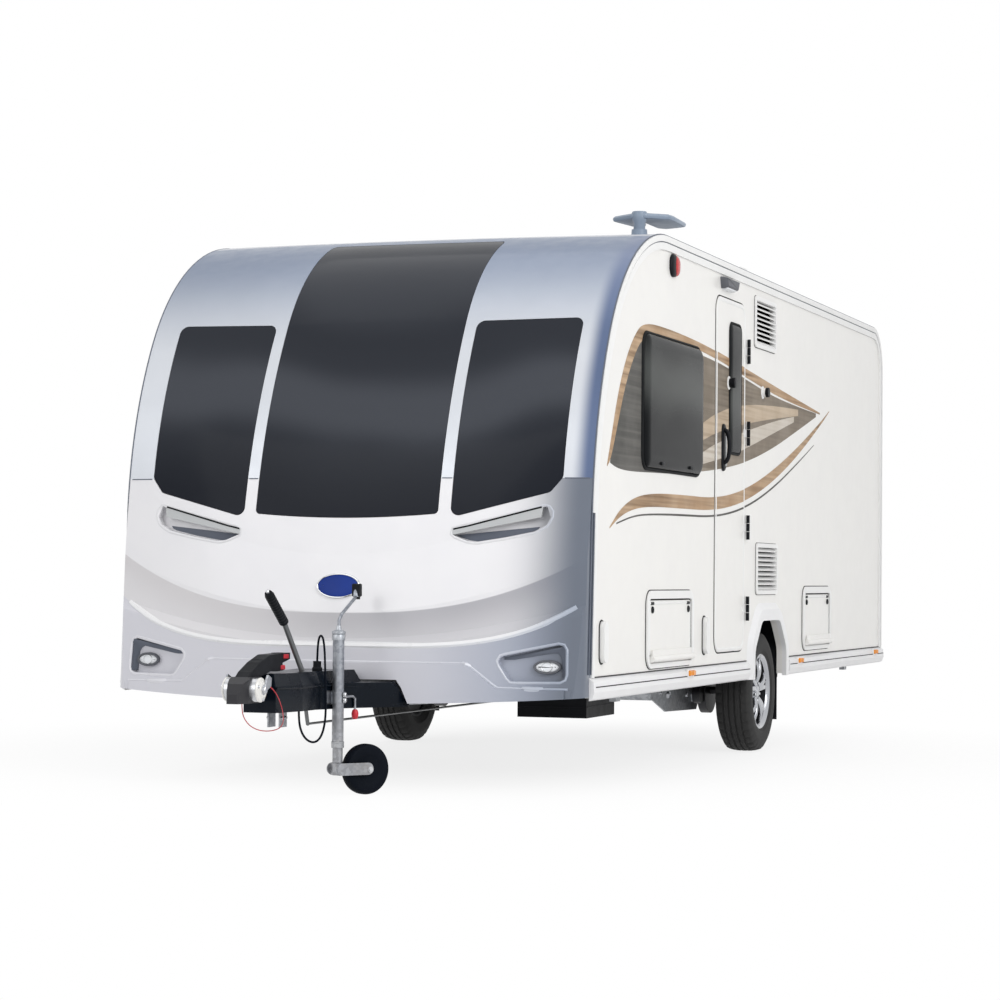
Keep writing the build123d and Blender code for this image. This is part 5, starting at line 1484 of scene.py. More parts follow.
@dataclass(frozen=True)
class UpperLamps:
    """Corner marker lamps and the lamp over the door."""

    corner: Box = (1250, 1375, 2305, 2411)
    door: Box = (2180, 2440, 2346, 2402)

    def build(self) -> None:
        """Make the bases and lenses."""
        d0, d1, z0, z1 = self.corner
        bases = [side_plate((d0, d1 - 16, z0, z1), 46.0, dome(0.020, 0.034), HALF, s) for s in (1, -1)]
        inner = (d0 + 40, d1, z0 + 5, z1 - 5)
        lenses = [side_plate(inner, 38.0, dome(0.026, 0.034), HALF, s) for s in (1, -1)]
        piece("corner_lamp_bases", bases, Paints.black, replaces=["upper_lamps"])
        piece("corner_lamp_lenses", lenses, Paints.red)
        a, b, low, high = self.door
        foot, head = low / 1000, high / 1000
        corners = [(yd(a) + 0.02, foot), (yd(b) - 0.03, foot), (yd(b), head), (yd(a), head)]
        wedge = rounded_loop(corners, 0.008)
        hood = carried(wedge, [(0.0, UNDER), (0.0, 0.014), (-0.004, 0.030), (-0.010, 0.038)], True)
        piece("door_lamp_hood", Face.ENTRY_SIDE.put(hood, HALF), Paints.lamp_grey, slot="black_plastic")
        strip = side_plate((a + 40, b - 46, low - 5, low + 12), 6.0, dome(0.030, 0.005))
        piece("door_lamp_lens", strip, Paints.clear)


# ------------------------------ wheels
@dataclass(frozen=True)
class RoadWheel:
    """Tyre with cut tread, alloy rim with twin spokes, cap and bolts, drawn about +Z.

    The tyre's grid has one row for each point of its section and one column for each step round
    the wheel.  Its radius is lowered in four round grooves, by slots across the shoulders and by
    fine cuts across the middle, both at even steps.  Each spoke is an oval carried from the hub
    to the flange.
    """

    name: str
    side: int
    place: Vec3 = (0.965, yd(AXLE_D), 0.315)
    tread_half: float = 0.078
    grooves: tuple[float, ...] = (-0.046, -0.016, 0.016, 0.046)
    steps: int = 180
    spoke_sides: int = 14

    def tyre(self) -> Surf:
        """The tyre."""
        wall = [(0.179, -0.070), (0.200, -0.083), (0.214, -0.0895), (0.216, -0.0915), (0.222, -0.0915),
                (0.255, -0.095), (0.268, -0.0935), (0.270, -0.0925), (0.283, -0.0905), (0.296, -0.083)]
        across = np.linspace(-self.tread_half, self.tread_half, 53)
        crown = self.place[2] - 0.010 * np.abs(across / self.tread_half) ** 3.0
        groove = np.min(np.abs(across[:, None] - np.array(self.grooves)), axis=1)
        crown = crown - 0.007 * (groove < 0.0042)
        rows = np.asarray(wall + list(zip(crown, across)) + [(r, -h) for r, h in reversed(wall)])
        step = np.arange(self.steps)
        a, h = step * 2 * np.pi / self.steps, rows[:, 1:]
        slot = (step % 5 == 0) & (np.abs(h) > 0.050) & (rows[:, :1] > 0.290)
        sipe = (step % 5 == 2) & (np.abs(h) < 0.040) & (rows[:, :1] > 0.300)
        r = rows[:, :1] - 0.006 * slot - 0.003 * sipe
        return grid(np.stack([r * np.cos(a), r * np.sin(a), h + 0 * a], -1), wrap_u=True, wrap_v=True)

    def flange(self) -> Surf:
        """Bright machined edge of the rim."""
        rows = [(0.1775, 0.062), (0.183, 0.0700), (0.190, 0.0765), (0.1965, 0.0800), (0.1975, 0.0822),
                (0.193, 0.0845), (0.186, 0.0815), (0.179, 0.0755), (0.1735, 0.066), (0.1775, 0.062)]
        return turned(rows, 72)

    def spokes(self) -> Surf:
        """Ten spoke legs in five pairs."""
        t = np.linspace(0, 1, 12)[:, None]
        radius = 0.046 + 0.132 * t
        height = 0.052 + 0.022 * np.sin(np.pi * (0.15 + 0.8 * t)) - 0.010 * (1 - t)
        width, deep = 0.0155 - 0.0045 * t, 0.013 - 0.003 * t
        s = np.arange(self.spoke_sides) * 2 * np.pi / self.spoke_sides
        off = width * np.sign(np.cos(s)) * np.abs(np.cos(s)) ** 0.6
        z = height + deep * np.sign(np.sin(s)) * np.abs(np.sin(s)) ** 0.8
        legs = []
        for leg in range(10):
            angle = math.radians(72 * (leg // 2) + 18) + (1 if leg % 2 else -1) * (0.10 + 0.13 * t ** 1.4)
            x = radius * np.cos(angle) - off * np.sin(angle)
            y = radius * np.sin(angle) + off * np.cos(angle)
            legs.append(grid(np.stack([x, y, z], -1), wrap_v=True, capped=True))
        return joined(legs)

    def hub(self) -> Surf:
        """Hub boss and cap."""
        boss = [(0.0, 0.030), (0.060, 0.030), (0.064, 0.046), (0.058, 0.058), (0.040, 0.060),
                (0.034, 0.056), (0.0, 0.056)]
        cap = [(0.0, 0.052), (0.031, 0.052), (0.032, 0.062), (0.027, 0.068), (0.0, 0.071)]
        return joined([turned(boss, 40), turned(cap)])

    def barrel(self) -> Surf:
        """Rim barrel with its outer flange."""
        rows = [(0.168, -0.070), (0.178, -0.072), (0.184, -0.070), (0.178, -0.060), (0.170, -0.040),
                (0.166, 0.020), (0.178, 0.058), (0.181, 0.066), (0.190, 0.074), (0.1955, 0.078),
                (0.1965, 0.0815), (0.193, 0.0835), (0.187, 0.080), (0.181, 0.074), (0.176, 0.064),
                (0.171, 0.050), (0.160, 0.018), (0.160, -0.066), (0.168, -0.070)]
        return turned(rows, 72)

    def dish(self) -> Surf:
        """Dark back of the pockets: brake drum and inner web."""
        rows = [(0.0, -0.060), (0.158, -0.060), (0.158, 0.006), (0.120, 0.016), (0.115, 0.028),
                (0.070, 0.032), (0.0, 0.034)]
        return turned(rows, 48)

    def bolts(self) -> Surf:
        """Five wheel bolts in their wells."""
        turns = np.radians(72 * np.arange(5) + 54)
        feet = [(0.049 * math.cos(t), 0.049 * math.sin(t), 0.057) for t in turns]
        return joined([hexagon_head(foot, (0, 0, 1), 0.0085, 0.010) for foot in feet])

    def valve(self) -> Surf:
        """Tyre valve."""
        rows = [(0.0, 0.0), (0.0045, 0.0), (0.0035, 0.014), (0.0045, 0.016), (0.0045, 0.030), (0.0, 0.031)]
        return spun(rows, (0.150, 0.060, 0.050), (-0.5, -0.2, 0.8), 12)

    def build(self) -> None:
        """Make the wheel's pieces, turned outwards and put on their axle end."""
        body = f"road_wheel_{self.name}"
        x, y, z = self.place
        alloy = joined([self.flange(), self.spokes(), self.hub()])
        dish = joined([self.barrel(), self.dish()])
        for name, surf, finish, replaces, smooth in (
            ("tyre_tread", self.tyre(), Paints.tyre, [f"{body}_tyre"], 50.0),
            ("alloy", alloy, Paints.alloy, [f"{body}_rim"], 40.0),
            ("dish", dish, Paints.alloy_dark, [], 35.0),
            ("bolts", self.bolts(), Paints.zinc, [], 35.0),
            ("valve", self.valve(), Paints.black, [], 35.0),
        ):
            surf = surf.moved(axes_for((self.side, 0, 0)), (self.side * x, y, z))
            piece(f"{body}_{name}", surf, finish, body, replaces=replaces, smooth_angle=smooth)


@dataclass(frozen=True)
class JockeyWheel:
    """Solid castor wheel with a stepped hub, and the pin through the fork."""

    axis: Vec3 = (0.150, yd(JOCKEY_D), 0.105)
    trail: float = 0.135
    turn: float = math.radians(-36.0)

    def build(self) -> None:
        """Make the tyre, the hub and the pin."""
        along = np.array([math.cos(self.turn), math.sin(self.turn), 0.0])
        back = np.array([-math.sin(self.turn), math.cos(self.turn), 0.0])
        centre = np.asarray(self.axis) + self.trail * back
        half = [(0.0085, 0.029), (0.022, 0.030), (0.026, 0.024), (0.052, 0.022), (0.060, 0.026),
                (0.088, 0.031), (0.098, 0.027), (0.1035, 0.018), (0.105, 0.010), (0.1045, 0.009),
                (0.1045, 0.008), (0.105, 0.007)]
        rows = [(r, -h) for r, h in half] + half[::-1] + [(half[0][0], -half[0][1])]
        wheel = spun(rows, centre, along, 64)
        piece("jockey_wheel_tyre", wheel, Paints.rubber, "jockey_wheel", replaces=["jockey_wheel"])
        ends = [hexagon_head(centre + s * 0.044 * along, s * along, 0.0095, 0.009) for s in (1, -1)]
        piece("jockey_pin_heads", ends, Paints.zinc, "jockey_fork")


# ------------------------------ drawbar
@dataclass(frozen=True)
class Drawbar:
    """Details of the coupling, brake lever, jockey stand and cover.

    Rows of bolts and edges hold (out, d, z), with d in millimetres.
    """

    ball: Vec3 = (0.0, yd(-1050.0), 0.455)
    brake_low: Vec3 = (0.060, yd(-804.0), 0.718)
    brake_tip: Vec3 = (0.060, yd(-955.0), 0.831)
    housing_bolts: tuple[Vec3, ...] = (
        (0.038, -770.0, 0.470), (0.038, -700.0, 0.470), (0.038, -620.0, 0.430), (0.038, -480.0, 0.430),
    )
    plate_bolts: tuple[Vec3, ...] = ((0.028, -745.0, 0.330), (0.028, -707.0, 0.330))
    cover_edge: tuple[Vec3, ...] = (
        (0.072, -895.0, 0.455), (0.103, -700.0, 0.452), (0.105, -525.0, 0.452), (0.126, -445.0, 0.452),
        (0.280, -190.0, 0.440),
    )
    cover_lip: tuple[Vec3, ...] = ((0.300, -175.0, 0.366), (0.330, -132.0, 0.366), (0.336, -126.0, 0.366))

    def build(self) -> None:
        """Make the pieces."""
        self._discs()
        self._stabiliser()
        self._brake()
        self._jockey()
        self._cover()

    def _discs(self) -> None:
        """Domed end plates, adjusting nuts and the wing lever of the friction pads."""
        caps, nuts, wings = [], [], []
        _, y, z = self.ball
        rows = [(0.0, -0.004), (0.0485, -0.004), (0.049, 0.001), (0.045, 0.006), (0.034, 0.008),
                (0.030, 0.012), (0.0, 0.013)]
        corners = [(-0.012, -0.014), (0.060, 0.012), (0.064, 0.046), (0.030, 0.060), (0.004, 0.016)]
        wing = rounded_loop(corners, 0.006)
        for s in (1, -1):
            caps.append(spun(rows, (s * 0.0715, y, z), (s, 0, 0), 44))
            nuts.append(hexagon_head((s * 0.084, y, z), (s, 0, 0), 0.015, 0.012))
            for t in np.radians([40, 160, 280]):
                place = (s * 0.0785, y + 0.039 * math.cos(t), z + 0.039 * math.sin(t))
                nuts.append(hexagon_head(place, (s, 0, 0), 0.005, 0.005))
            blade = wing if s > 0 else (wing * np.array([-1.0, 1.0]))[::-1]
            wings.append(SIDES[s].put(carried(blade, pad(0.006, 0.002), True), 0.0).at(s * 0.085, y, z))
        piece("disc_end_plates", caps, Paints.cream)
        piece("disc_nuts", nuts, Paints.zinc)
        piece("disc_wing_levers", wings, Paints.zinc_hot)

    def _stabiliser(self) -> None:
        """Red pads at the lever's rear end, and its grip ribs."""
        pads, ribs = [], []
        across = [(-0.003, -0.060), (0.0, -0.057), (0.0, -0.003), (-0.003, 0.0)]
        for d, z, half in ((-704.0, 0.578, 0.026), (-736.0, 0.534, 0.022)):
            loop = box_loop(yd(d) - half, yd(d) + half, z - 0.010, z + 0.010, 0.004)
            pads.append(Face.ENTRY_SIDE.put(carried(loop, across, True), 0.030))
        piece("stabiliser_red_pads", pads, Paints.red_pad)
        for k in range(9):
            y, z = yd(-925.0 + 24 * k), 0.566 + 0.0028 * k
            ribs.append(tube([(-0.024, y, z), (0.0, y, z + 0.001), (0.024, y, z)], 0.0045))
        piece("stabiliser_grip_ribs", ribs, Paints.black)

    def _brake(self) -> None:
        """Ribbed grip with its release button, and the bolts of the housing."""
        low, tip = np.array(self.brake_low), np.array(self.brake_tip)
        long = float(np.linalg.norm(tip - low))
        way = (tip - low) / long
        h = np.linspace(0, long, 45)
        r = 0.0188 + 0.0012 * np.sign(np.sin(h * 2 * np.pi / 0.016))
        rows = [(0.0, -0.004), (0.016, -0.004), (0.0195, 0.0), *zip(r, h),
                (0.015, long + 0.008), (0.0, long + 0.010)]
        piece("brake_grip", spun(rows, low, way, 24), Paints.black)
        button = [(0.0, 0.0), (0.007, 0.0), (0.007, 0.012), (0.004, 0.015), (0.0, 0.015)]
        piece("brake_button", spun(button, tip + 0.009 * way, way, 16), Paints.zinc)
        bolts = [
            hexagon_head((s * x, yd(d), z), (s, 0, 0), radius, rise)
            for radius, rise, places in ((0.009, 0.008, self.housing_bolts), (0.008, 0.007, self.plate_bolts))
            for x, d, z in places
            for s in (1, -1)
        ]
        piece("housing_bolts", bolts, Paints.zinc)

    def _jockey(self) -> None:
        """Collars, crank knob, clamp bolts and red clamp knob."""
        collar = [(0.0, 0.640), (0.0235, 0.640), (0.0275, 0.641), (0.0275, 0.660), (0.0255, 0.664),
                  (0.0285, 0.667), (0.0285, 0.676), (0.012, 0.684), (0.0095, 0.700), (0.0, 0.701)]
        low = [(0.0205, 0.196), (0.0262, 0.197), (0.0265, 0.222), (0.0235, 0.224), (0.0205, 0.224),
               (0.0205, 0.196)]
        rings = joined([turned(collar), turned(low)]).at(0.150, yd(JOCKEY_D), 0.0)
        piece("jockey_collars", rings, Paints.zinc_hot, "jockey_tube")
        x, y, half = 0.144, yd(-236.0), 0.018
        sides = [(-0.009, 0.808), (-0.008, 0.818), (0.0, 0.822), (0.0, 0.870), (-0.004, 0.874)]
        knob = carried(box_loop(x - half, x + half, y - half, y + half, 0.007), sides, True)
        piece("crank_knob", knob, Paints.black, "jockey_tube")
        red = [(0.0, 0.312), (0.008, 0.312), (0.0135, 0.320), (0.015, 0.334), (0.0125, 0.346),
               (0.008, 0.352), (0.0, 0.353)]
        piece("clamp_knob", turned(red, 24).at(0.190, yd(-357.0), 0.0), Paints.red_pad)
        y = yd(JOCKEY_D - 12.0)
        heads = [hexagon_head((0.184, y, z), (1, 0, 0), 0.009, 0.008) for z in (0.393, 0.416)]
        piece("clamp_bolts", heads, Paints.zinc)

    def _cover(self) -> None:
        """Rolled rims of the moulded cover, and the socket's boss."""
        edges = [tube([(s * x, yd(d), z) for x, d, z in self.cover_edge], 0.004) for s in (1, -1)]
        lip = smooth_path([(x, yd(d), z) for x, d, z in self.cover_lip], 8)
        lips = [tube(lip * np.array([s, 1.0, 1.0]), 0.004) for s in (1, -1)]
        piece("cover_rims", edges + lips, Paints.cover)
        rows = [(0.0, 0.508), (0.021, 0.508), (0.022, 0.522), (0.018, 0.528), (0.0, 0.529)]
        piece("socket_boss", turned(rows, 24).at(0.052, yd(-438.0), 0.0), Paints.black)


# ------------------------------ front, roof and rear
@dataclass
class FrontDetails:
    """Ridges, painted pocket shade, lamps, badge and joint lines of the front, laid on the CAD skin.

    The long ridge climbs from its middle with the fourth power of the distance out.
    """

    skin: Skin
    ridge_z: float = 0.61
    ridge_climb: float = 0.18
    chin: tuple[tuple[float, float], ...] = (
        (0.0, 0.541), (0.57, 0.541), (0.60, 0.533), (0.66, 0.487), (0.72, 0.441), (0.88, 0.437),
        (1.02, 0.437),
    )
    joint_z: float = 1.327
    joints: tuple[tuple[float, float], ...] = ((0.4285, 0.4735), (0.963, 1.068))
    grip_bar: tuple[tuple[float, float], ...] = ((0.496, 1.108), (0.560, 1.122), (0.872, 1.2035))
    lamp: tuple[float, float] = (0.924, 0.532)
    badge: Box = (0.0, 0.864, 0.096, 0.050)

    def build(self) -> None:
        """Make the pieces."""
        self._ridges()
        self._grips()
        self._fog_lamps()
        oval = oval_loop(*self.badge, 48)
        piece("badge_plate", self.skin.draped(carried(oval, dome(0.008, 0.030), True)), Paints.badge)
        piece("badge_rim", self.skin.draped(carried(oval, bead(0.009, 0.009))), Paints.chrome)

    def _ridges(self) -> None:
        """A pale ridge that paints the long crease's highlight, a chin ridge, and the panels' dark joint."""
        x = np.linspace(-1.035, 1.035, 90)
        # painted highlight: a pale bead along the long crease
        ridge = self.ridge_z + self.ridge_climb * (np.abs(x) / 1.05) ** 4
        piece("front_ridge_highlight", self.skin.line(x, ridge, 0.018, 0.0135), Paints.ridge)
        fine = np.linspace(-1.015, 1.015, 120)
        chin = np.interp(np.abs(fine), *zip(*self.chin))
        piece("front_chin_ridge", self.skin.line(fine, chin, 0.014, 0.0112), Paints.lip)
        runs = [np.linspace(a, b, 12) * s for s in (1, -1) for a, b in self.joints]
        joints = [self.skin.line(run, 0 * run + self.joint_z, 0.0026, 0.0005) for run in runs]
        piece("front_joint_line", joints, Paints.joint_and_pocket_shade, slot="rubber_black")

    def _both(self, points: Rows, radius: float, step: float = 0.02) -> list[np.ndarray]:
        """Anticlockwise outlines on both halves of the front, from (x, z) millimetres."""
        loop = millimetre_loop(points, radius)
        return [dense(loop, step), dense((loop * np.array([-1.0, 1.0]))[::-1], step)]

    def _film(self, points: Rows, radius: float, rise: float) -> list[Surf]:
        """A thin sheet of painted shade inside an outline on both halves, laid on the skin."""
        rows = [(0.0, -0.001), (0.0, rise)]
        return [self.skin.draped(carried(loop, rows, True)) for loop in self._both(points, radius)]

    def _lips(self, points: Rows, radius: float) -> list[Surf]:
        """Rounded lips round a pocket on both halves, standing on the face just outside it."""
        wide = [loop + 0.008 * outward(loop) for loop in self._both(points, radius)]
        return [self.skin.line(*loop.T, 0.0065, 0.0045, closed=True) for loop in wide]

    def _grips(self) -> None:
        """Painted shade low in the grip pockets, a lip round them and a painted shadow line over each bar."""
        pocket = [(493, 1084), (560, 1058), (597, 1053), (728, 1074), (847, 1099), (897, 1128), (913, 1160),
                  (914, 1182), (896, 1207), (878, 1202), (492, 1106)]
        under = [(500, 1081), (562, 1061), (597, 1057), (726, 1078), (842, 1103), (868, 1121),
                 (700, 1104), (500, 1083)]
        # painted shade in the lower part of each grip pocket
        piece("grip_pocket_shade", self._film(under, 0.002, 0.003), Paints.joint_and_pocket_shade)
        piece("grip_pocket_lips", self._lips(pocket, 0.006), Paints.lip)
        x = np.linspace(self.grip_bar[0][0], self.grip_bar[-1][0], 24)
        z = np.interp(x, *zip(*self.grip_bar))
        lines = []
        for s in (1, -1):
            y = self.skin.depth(s * x, z + 0.014) - 0.001
            lines.append(tube(np.stack([s * x, y, z], 1), 0.0042))
        # painted shadow line over each grip bar
        piece("grip_shadow_line", lines, Paints.seal)

    def _fog_lamps(self) -> None:
        """Painted shade in the pockets, pocket lips, lamp rims and lenses."""
        pocket = [(1000, 629), (712, 569), (776, 472), (1005, 475)]
        shade = [(1000, 622), (730, 568), (738, 560), (780, 560), (880, 578), (960, 592), (978, 570),
                 (982, 482), (1000, 480)]
        # painted shade along the top and the outer side of each lamp pocket
        piece("lamp_pocket_shade", self._film(shade, 0.003, 0.003), Paints.joint_and_pocket_shade)
        piece("lamp_pocket_lips", self._lips(pocket, 0.022), Paints.lip)
        ring = [(0.0, UNDER), (0.0, 0.019), (-0.002, 0.0215), (-0.006, 0.022), (-0.009, 0.018),
                (-0.009, UNDER)]
        glass = [(-0.0085, UNDER), (-0.0085, 0.013), (-0.014, 0.0165), (-0.022, 0.018)]
        cup = [(out, rise + 0.0165) for out, rise in bead(0.004, 0.005)]
        rims, lenses, cups = [], [], []
        for s in (1, -1):
            x, z = s * self.lamp[0], self.lamp[1]
            oval, circle = oval_loop(x, z, 0.057, 0.030, 40), oval_loop(x, z, 0.022, 0.019, 40)
            rims.append(self.skin.draped(carried(oval, ring)))
            lenses.append(self.skin.draped(carried(oval, glass, True)))
            cups.append(self.skin.draped(carried(circle, cup)))
        piece("lamp_rims", rims, Paints.lamp_grey, slot="lamp_lens", replaces=["front_lamps"])
        piece("lamp_lenses", lenses, Paints.clear)
        piece("lamp_reflector_rims", cups, Paints.chrome)


@dataclass(frozen=True)
class Roof:
    """Aerial with a round mast and two swept wings, vent cowl, and sealed joints.

    Each wing is a stack of rounded outlines through (x, d) corners in millimetres: the rim is full
    in the middle of its thickness and drawn in above and below, more so on top.
    """

    mast: tuple[float, float] = (0.920, yd(MAST_D))
    wings: tuple[tuple[tuple[float, float], ...], ...] = (
        ((895, 1268), (770, 1362), (774, 1402), (806, 1590), (868, 1600), (880, 1500), (945, 1335)),
        ((945, 1268), (1052, 1360), (1060, 1420), (1050, 1650), (1010, 1676), (935, 1704), (902, 1660),
        (895, 1335)),
    )
    cross_joints: tuple[float, ...] = (1400.0, 5970.0)
    joint_z: float = 2.4845

    def build(self) -> None:
        """Make the wings with the mast, the foot, the cowl and the joints."""
        x, y = self.mast
        edge = [(-0.012, 2.580), (-0.004, 2.582), (0.0, 2.590), (-0.001, 2.597), (-0.007, 2.603),
                (-0.012, 2.606)]
        wings = [carried(millimetre_loop(points, 0.014, FRONT_Y, 5), edge, True) for points in self.wings]
        rows = [(0.0, 2.484), (0.044, 2.484), (0.044, 2.490), (0.030, 2.498), (0.026, 2.560), (0.034, 2.574),
                (0.036, 2.608), (0.033, 2.614), (0.0, 2.617)]
        mast = turned(rows, 36).at(x, y, 0.0)
        piece("aerial_wings", [*wings, mast], Paints.aerial, replaces=["roof_fittings"])
        foot = [(0.0, 2.484), (0.047, 2.484), (0.047, 2.488), (0.038, 2.502), (0.036, 2.530), (0.0, 2.530)]
        piece("aerial_foot", turned(foot).at(x, y, 0.0), Paints.aerial)
        rows = [(0.0, 2.483), (0.0, 2.496), (-0.006, 2.500), (-0.014, 2.500), (-0.014, 2.508),
                (-0.010, 2.510), (-0.010, 2.517), (-0.018, 2.523)]
        cowl = carried(box_loop(0.950, 1.040, yd(2800), yd(2950), 0.020), rows, True)
        piece("roof_vent_cowl", cowl, Paints.trim, slot="aerial_grey")
        z, high = self.joint_z, self.joint_z + 0.001
        paths = [[(-1.068, yd(d), z), (0.0, yd(d), high), (1.068, yd(d), z)] for d in self.cross_joints]
        for out in (0.985, -0.985):
            paths.append([(out, yd(MAST_D), z), (out, yd(3500), high), (out, yd(BODY_D - 280), z)])
        piece("roof_sealed_joints", [tube(path, 0.0035) for path in paths], Paints.trim)


@dataclass(frozen=True)
class RearFace:
    """Lamp clusters, high lamp, blank plate and moulded borders of the rear."""

    wall: float = yd(BODY_D)
    cluster: tuple[float, float] = (0.852, 0.968)
    borders: tuple[Box, ...] = ((-0.78, 0.78, 1.02, 2.02), (-0.78, 0.78, 0.58, 0.94))

    def plate(self, box: Box, radius: float, profile: Rows, filled: bool = True) -> Surf:
        """A profile carried round a rounded rectangle on the rear wall, filled unless it's a ring."""
        return Face.REAR.put(carried(box_loop(*box, radius), profile, filled), self.wall)

    def build(self) -> None:
        """Make the pieces."""
        bases, reds, ambers, clears, feet, seams = [], [], [], [], [], []
        for s in (1, -1):
            a0, a1 = sorted((s * self.cluster[0], s * self.cluster[1]))
            bases.append(self.plate((a0, a1, 0.562, 0.898), 0.030, dome(0.012, 0.010)))
            for low, high, lenses in ((0.790, 0.886, ambers), (0.678, 0.782, reds), (0.574, 0.670, clears)):
                lenses.append(self.plate((a0 + 0.010, a1 - 0.010, low, high), 0.024, dome(0.022, 0.020)))
            reds.append(self.plate((a0 + 0.036, a1 - 0.036, 0.500, 0.536), 0.016, dome(0.008, 0.008)))
            seams.append(tube([(s * 1.050, self.wall + 0.0005, z) for z in (0.42, 1.3, 2.20)], 0.003))
            rows = [(0.0, UNDER), (0.026, UNDER), (0.027, 0.006), (0.020, 0.011), (0.0, 0.011)]
            feet += [spun(rows, (s * 0.795, self.wall, z), (0, 1, 0)) for z in (0.965, 1.185)]
        reds.append(self.plate((-0.152, 0.152, 2.124, 2.146), 0.009, dome(0.020, 0.008)))
        bases.append(self.plate((-0.160, 0.160, 2.116, 2.154), 0.014, dome(0.010, 0.008)))
        piece("rear_lamp_bases", bases, Paints.lamp_grey, replaces=["rear_lamps"])
        piece("rear_red_lenses", reds, Paints.red)
        piece("rear_amber_lenses", ambers, Paints.amber)
        piece("rear_clear_lenses", clears, Paints.clear, slot="clear_lens")
        plate = self.plate((-0.260, 0.260, 0.640, 0.750), 0.010, pad(0.004, 0.002))
        piece("blank_plate", plate, Paints.plate)
        holder = self.plate((-0.264, 0.264, 0.636, 0.754), 0.012, bead(0.008, 0.006), False)
        piece("plate_holder", holder, Paints.black)
        rims = [self.plate(box, 0.05, bead(0.022, 0.008), False) for box in self.borders]
        piece("rear_moulded_borders", rims, Paints.ridge)
        piece("rear_corner_seams", seams, Paints.seal)
        piece("rear_grip_feet", feet, Paints.trim)


@dataclass(frozen=True)
class Underside:
    """Bolts of the axle plates, placed from the axle, and the seam of the box between the rails."""

    bolts: tuple[tuple[float, float], ...] = (
        (-900.0, 0.400), (-830.0, 0.400), (-500.0, 0.400), (-160.0, 0.400), (-90.0, 0.400), (-800.0, 0.330),
        (-300.0, 0.300),
    )

    def build(self) -> None:
        """Make the pieces."""
        places = [(s, yd(AXLE_D + d), z) for s in (1, -1) for d, z in self.bolts]
        heads = [hexagon_head((s * 0.723, y, z), (s, 0, 0), 0.010, 0.008) for s, y, z in places]
        piece("axle_plate_bolts", heads, Paints.zinc)
        rows = [(0.002, 0.298), (0.007, 0.300), (0.007, 0.306), (0.002, 0.308), (-0.004, 0.303)]
        piece("tank_seam", carried(box_loop(0.345, 0.675, yd(1305), yd(1745), 0.012), rows), Paints.black)


# ------------------------------ camera and studio
@dataclass(frozen=True)
class ViewCamera:
    """Camera at the viewing angle."""

    place: Vec3 = (4.4938, -13.4614, 0.9104)
    yaw: float = -0.3344
    pitch: float = 0.0278
    roll: float = 0.0087
    lens: float = 98.62
    sensor: float = 36.0

    def build(self) -> None:
        """Make the camera: forward from yaw and pitch, then rolled about it."""
        level = math.cos(self.pitch)
        ahead = np.array([math.sin(self.yaw) * level, math.cos(self.yaw) * level, math.sin(self.pitch)])
        right = np.array([math.cos(self.yaw), -math.sin(self.yaw), 0.0])
        up = np.cross(right, ahead)
        matrix = np.eye(4)
        matrix[:3, 0] = math.cos(self.roll) * right + math.sin(self.roll) * up
        matrix[:3, 1] = math.cos(self.roll) * up - math.sin(self.roll) * right
        matrix[:3, 2], matrix[:3, 3] = -ahead, self.place
        data = bpy.data.cameras.new("camera")
        data.sensor_width, data.lens, data.clip_end = self.sensor, self.lens, 200.0
        camera = linked("camera", data)
        camera.matrix_world = Matrix(matrix.tolist())
        bpy.context.scene.camera = camera


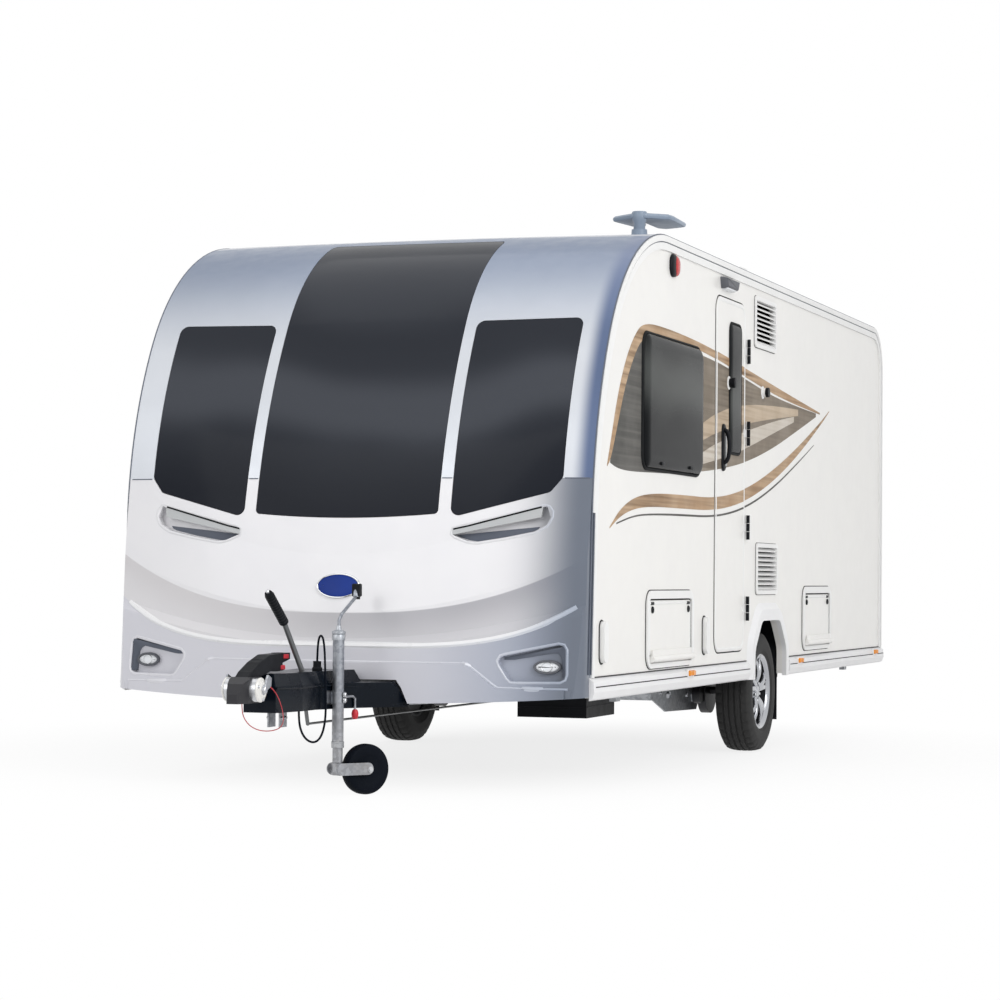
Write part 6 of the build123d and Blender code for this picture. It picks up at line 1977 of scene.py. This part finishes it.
@dataclass(frozen=True)
class Studio:
    """Pale floor, white surroundings and soft lamps."""

    floor_half: float = 60.0
    floor_tone: float = 0.86
    clear_radius: tuple[float, float] = (1.0, 4.0)
    clear_least: float = 0.82
    world_level: float = 0.60
    aim: Vec3 = (0.0, 0.3, 1.2)
    # lamp rows: name, place, size, watts
    lamps: tuple[tuple[str, Vec3, float, float], ...] = (
        ("key", (10.0, -7.0, 7.0), 8.0, 760.0),
        ("front_fill", (-5.0, -14.0, 6.0), 8.0, 330.0),
        ("top", (0.0, 0.0, 11.0), 10.0, 220.0),
    )

    def build(self) -> None:
        """Make the world, the floor and the lamps, each aimed at the middle of the body."""
        self._world()
        self._floor()
        for name, place, size, watts in self.lamps:
            data = bpy.data.lights.new(name, "AREA")
            data.size, data.energy = size, watts
            turn = (Vector(self.aim) - Vector(place)).to_track_quat("-Z", "Y")
            linked(name, data).matrix_world = Matrix.Translation(place) @ turn.to_matrix().to_4x4()

    @staticmethod
    def _seen(g: Graph) -> Socket:
        """One for camera, glossy and transmission rays."""
        path = g.add("LightPath").outputs
        both = g.math("ADD", path["Is Camera Ray"], path["Is Glossy Ray"], clamp=True)
        return g.math("ADD", both, path["Is Transmission Ray"], clamp=True)

    def _world(self) -> None:
        """White to the eye and in reflections, softer as light."""
        world = bpy.data.worlds.new("world")
        world.use_nodes = True
        bpy.context.scene.world = world
        g = Graph(world.node_tree)
        strength = g.between(self._seen(g), 0.0, 1.0, self.world_level, 1.0)
        g.fill(world.node_tree.nodes["Background"], Color=(1.0, 1.0, 1.0), Strength=strength)

    def _floor(self) -> None:
        """A pale floor that keeps the shadow near the caravan and is plain white beyond."""
        mat = bpy.data.materials.new("studio_floor")
        mat.use_nodes = True
        g, nodes = Graph(mat.node_tree), mat.node_tree.nodes
        bsdf = g.fill(nodes["Principled BSDF"], Base_Color=(self.floor_tone,) * 3, Roughness=0.9)
        place = g.add("TexCoord").outputs["Object"]
        radius = g.add("VectorMath", {"operation": "LENGTH"}, i0=place).outputs["Value"]
        far = g.between(radius, *self.clear_radius, self.clear_least, 1.0)
        glow = g.add("Emission", Strength=1.0)
        share = g.math("MULTIPLY", far, self._seen(g))
        mix = g.add("MixShader", i0=share, i1=bsdf.outputs[0], i2=glow.outputs[0])
        g.fill(nodes["Material Output"], Surface=mix.outputs[0])
        s = self.floor_half
        surf = grid(np.array([[[-s, -s, 0], [s, -s, 0]], [[-s, s, 0], [s, s, 0]]], float))
        mesh = bpy.data.meshes.new("floor_sheet")
        mesh.from_pydata(surf.verts.tolist(), [], surf.quads.tolist())
        mesh.materials.append(mat)
        linked("floor_sheet", mesh)


# ------------------------------ cables
@dataclass(frozen=True)
class FreeCable:
    """A loose cable as one smooth curve through given points (x, d, z) in millimetres."""

    name: str
    points: tuple[Vec3, ...]
    diameter: float
    length: float
    finish: Finish
    node: str
    slot: str
    far_end: str
    stiffness: str
    with_nodes: tuple[str, ...] = ()

    def build(self) -> None:
        """Make the curve and let it stand for its CAD tube."""
        route = np.asarray(self.points) / 1000 + np.array([0.0, FRONT_Y, 0.0])
        data = bpy.data.curves.new(self.name, "CURVE")
        data.dimensions = "3D"
        data.bevel_depth, data.bevel_resolution = self.diameter / 2, 5
        data.use_fill_caps = True
        data.resolution_u = 12
        spline = data.splines.new("NURBS")
        spline.points.add(len(route) - 1)
        spline.points.foreach_set("co", np.column_stack([route, np.ones(len(route))]).ravel())
        spline.order_u = 3
        spline.use_endpoint_u = True
        data.materials.append(self.finish.material())
        obj = linked(self.name, data)
        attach(obj, "body")
        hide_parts(self.node)
        [NODES[n] for n in self.with_nodes]
        LOG.info("%s: %d points", self.name, len(route))


BREAKAWAY = FreeCable(
    "breakaway_cord",
    (
        (-36.0, -990.0, 402.0), (-38.0, -985.0, 366.0), (-35.0, -966.0, 333.0), (-26.0, -930.0, 304.0),
        (-12.0, -882.0, 286.0), (6.0, -832.0, 280.0), (32.0, -806.0, 285.0), (58.0, -812.0, 299.0),
        (77.0, -836.0, 324.0), (87.0, -866.0, 358.0), (88.0, -893.0, 398.0), (81.0, -918.0, 436.0),
        (66.0, -942.0, 464.0), (56.0, -974.0, 476.0),
    ),
    0.004, 0.545, Paints.red_sheath, "breakaway_cable", "red_sheath", "object", "limp",
)
LEAD = FreeCable(
    "towing_lead",
    (
        (80.0, -690.0, 396.0), (82.0, -696.0, 336.0), (92.0, -700.0, 280.0), (112.0, -686.0, 240.0),
        (134.0, -650.0, 226.0), (146.0, -608.0, 250.0), (146.0, -572.0, 304.0), (138.0, -545.0, 370.0),
        (128.0, -526.0, 446.0), (120.0, -515.0, 530.0), (114.0, -508.0, 608.0), (98.0, -490.0, 656.0),
        (70.0, -458.0, 660.0), (54.0, -440.0, 616.0), (52.0, -438.0, 552.0),
    ),
    0.009, 0.832, Paints.rubber, "electrical_cable", "rubber_black", "plug", "medium", ("cable_plug",),
)


def main() -> None:
    """Build the caravan's dressing in order."""
    logging.basicConfig(level=logging.INFO, format="%(message)s")
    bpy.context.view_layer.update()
    bpy.context.scene.view_settings.view_transform = "Standard"
    for part in (ViewCamera(), BREAKAWAY, LEAD, Studio(), NodeFinishes()):
        part.build()
    for part in (SideWindows(), EntryDoor(), *LOCKER_TRIMS, SideTrim(), SideDecoration(), UpperLamps()):
        part.build()
    for wheel in (RoadWheel("left", 1), RoadWheel("right", -1), JockeyWheel()):
        wheel.build()
    for part in (Drawbar(), FrontDetails(Skin(("front_lower_panel", "front_upper_panel"))), Roof()):
        part.build()
    for part in (RearFace(), Underside()):
        part.build()


if __name__ == "__main__":
    main()
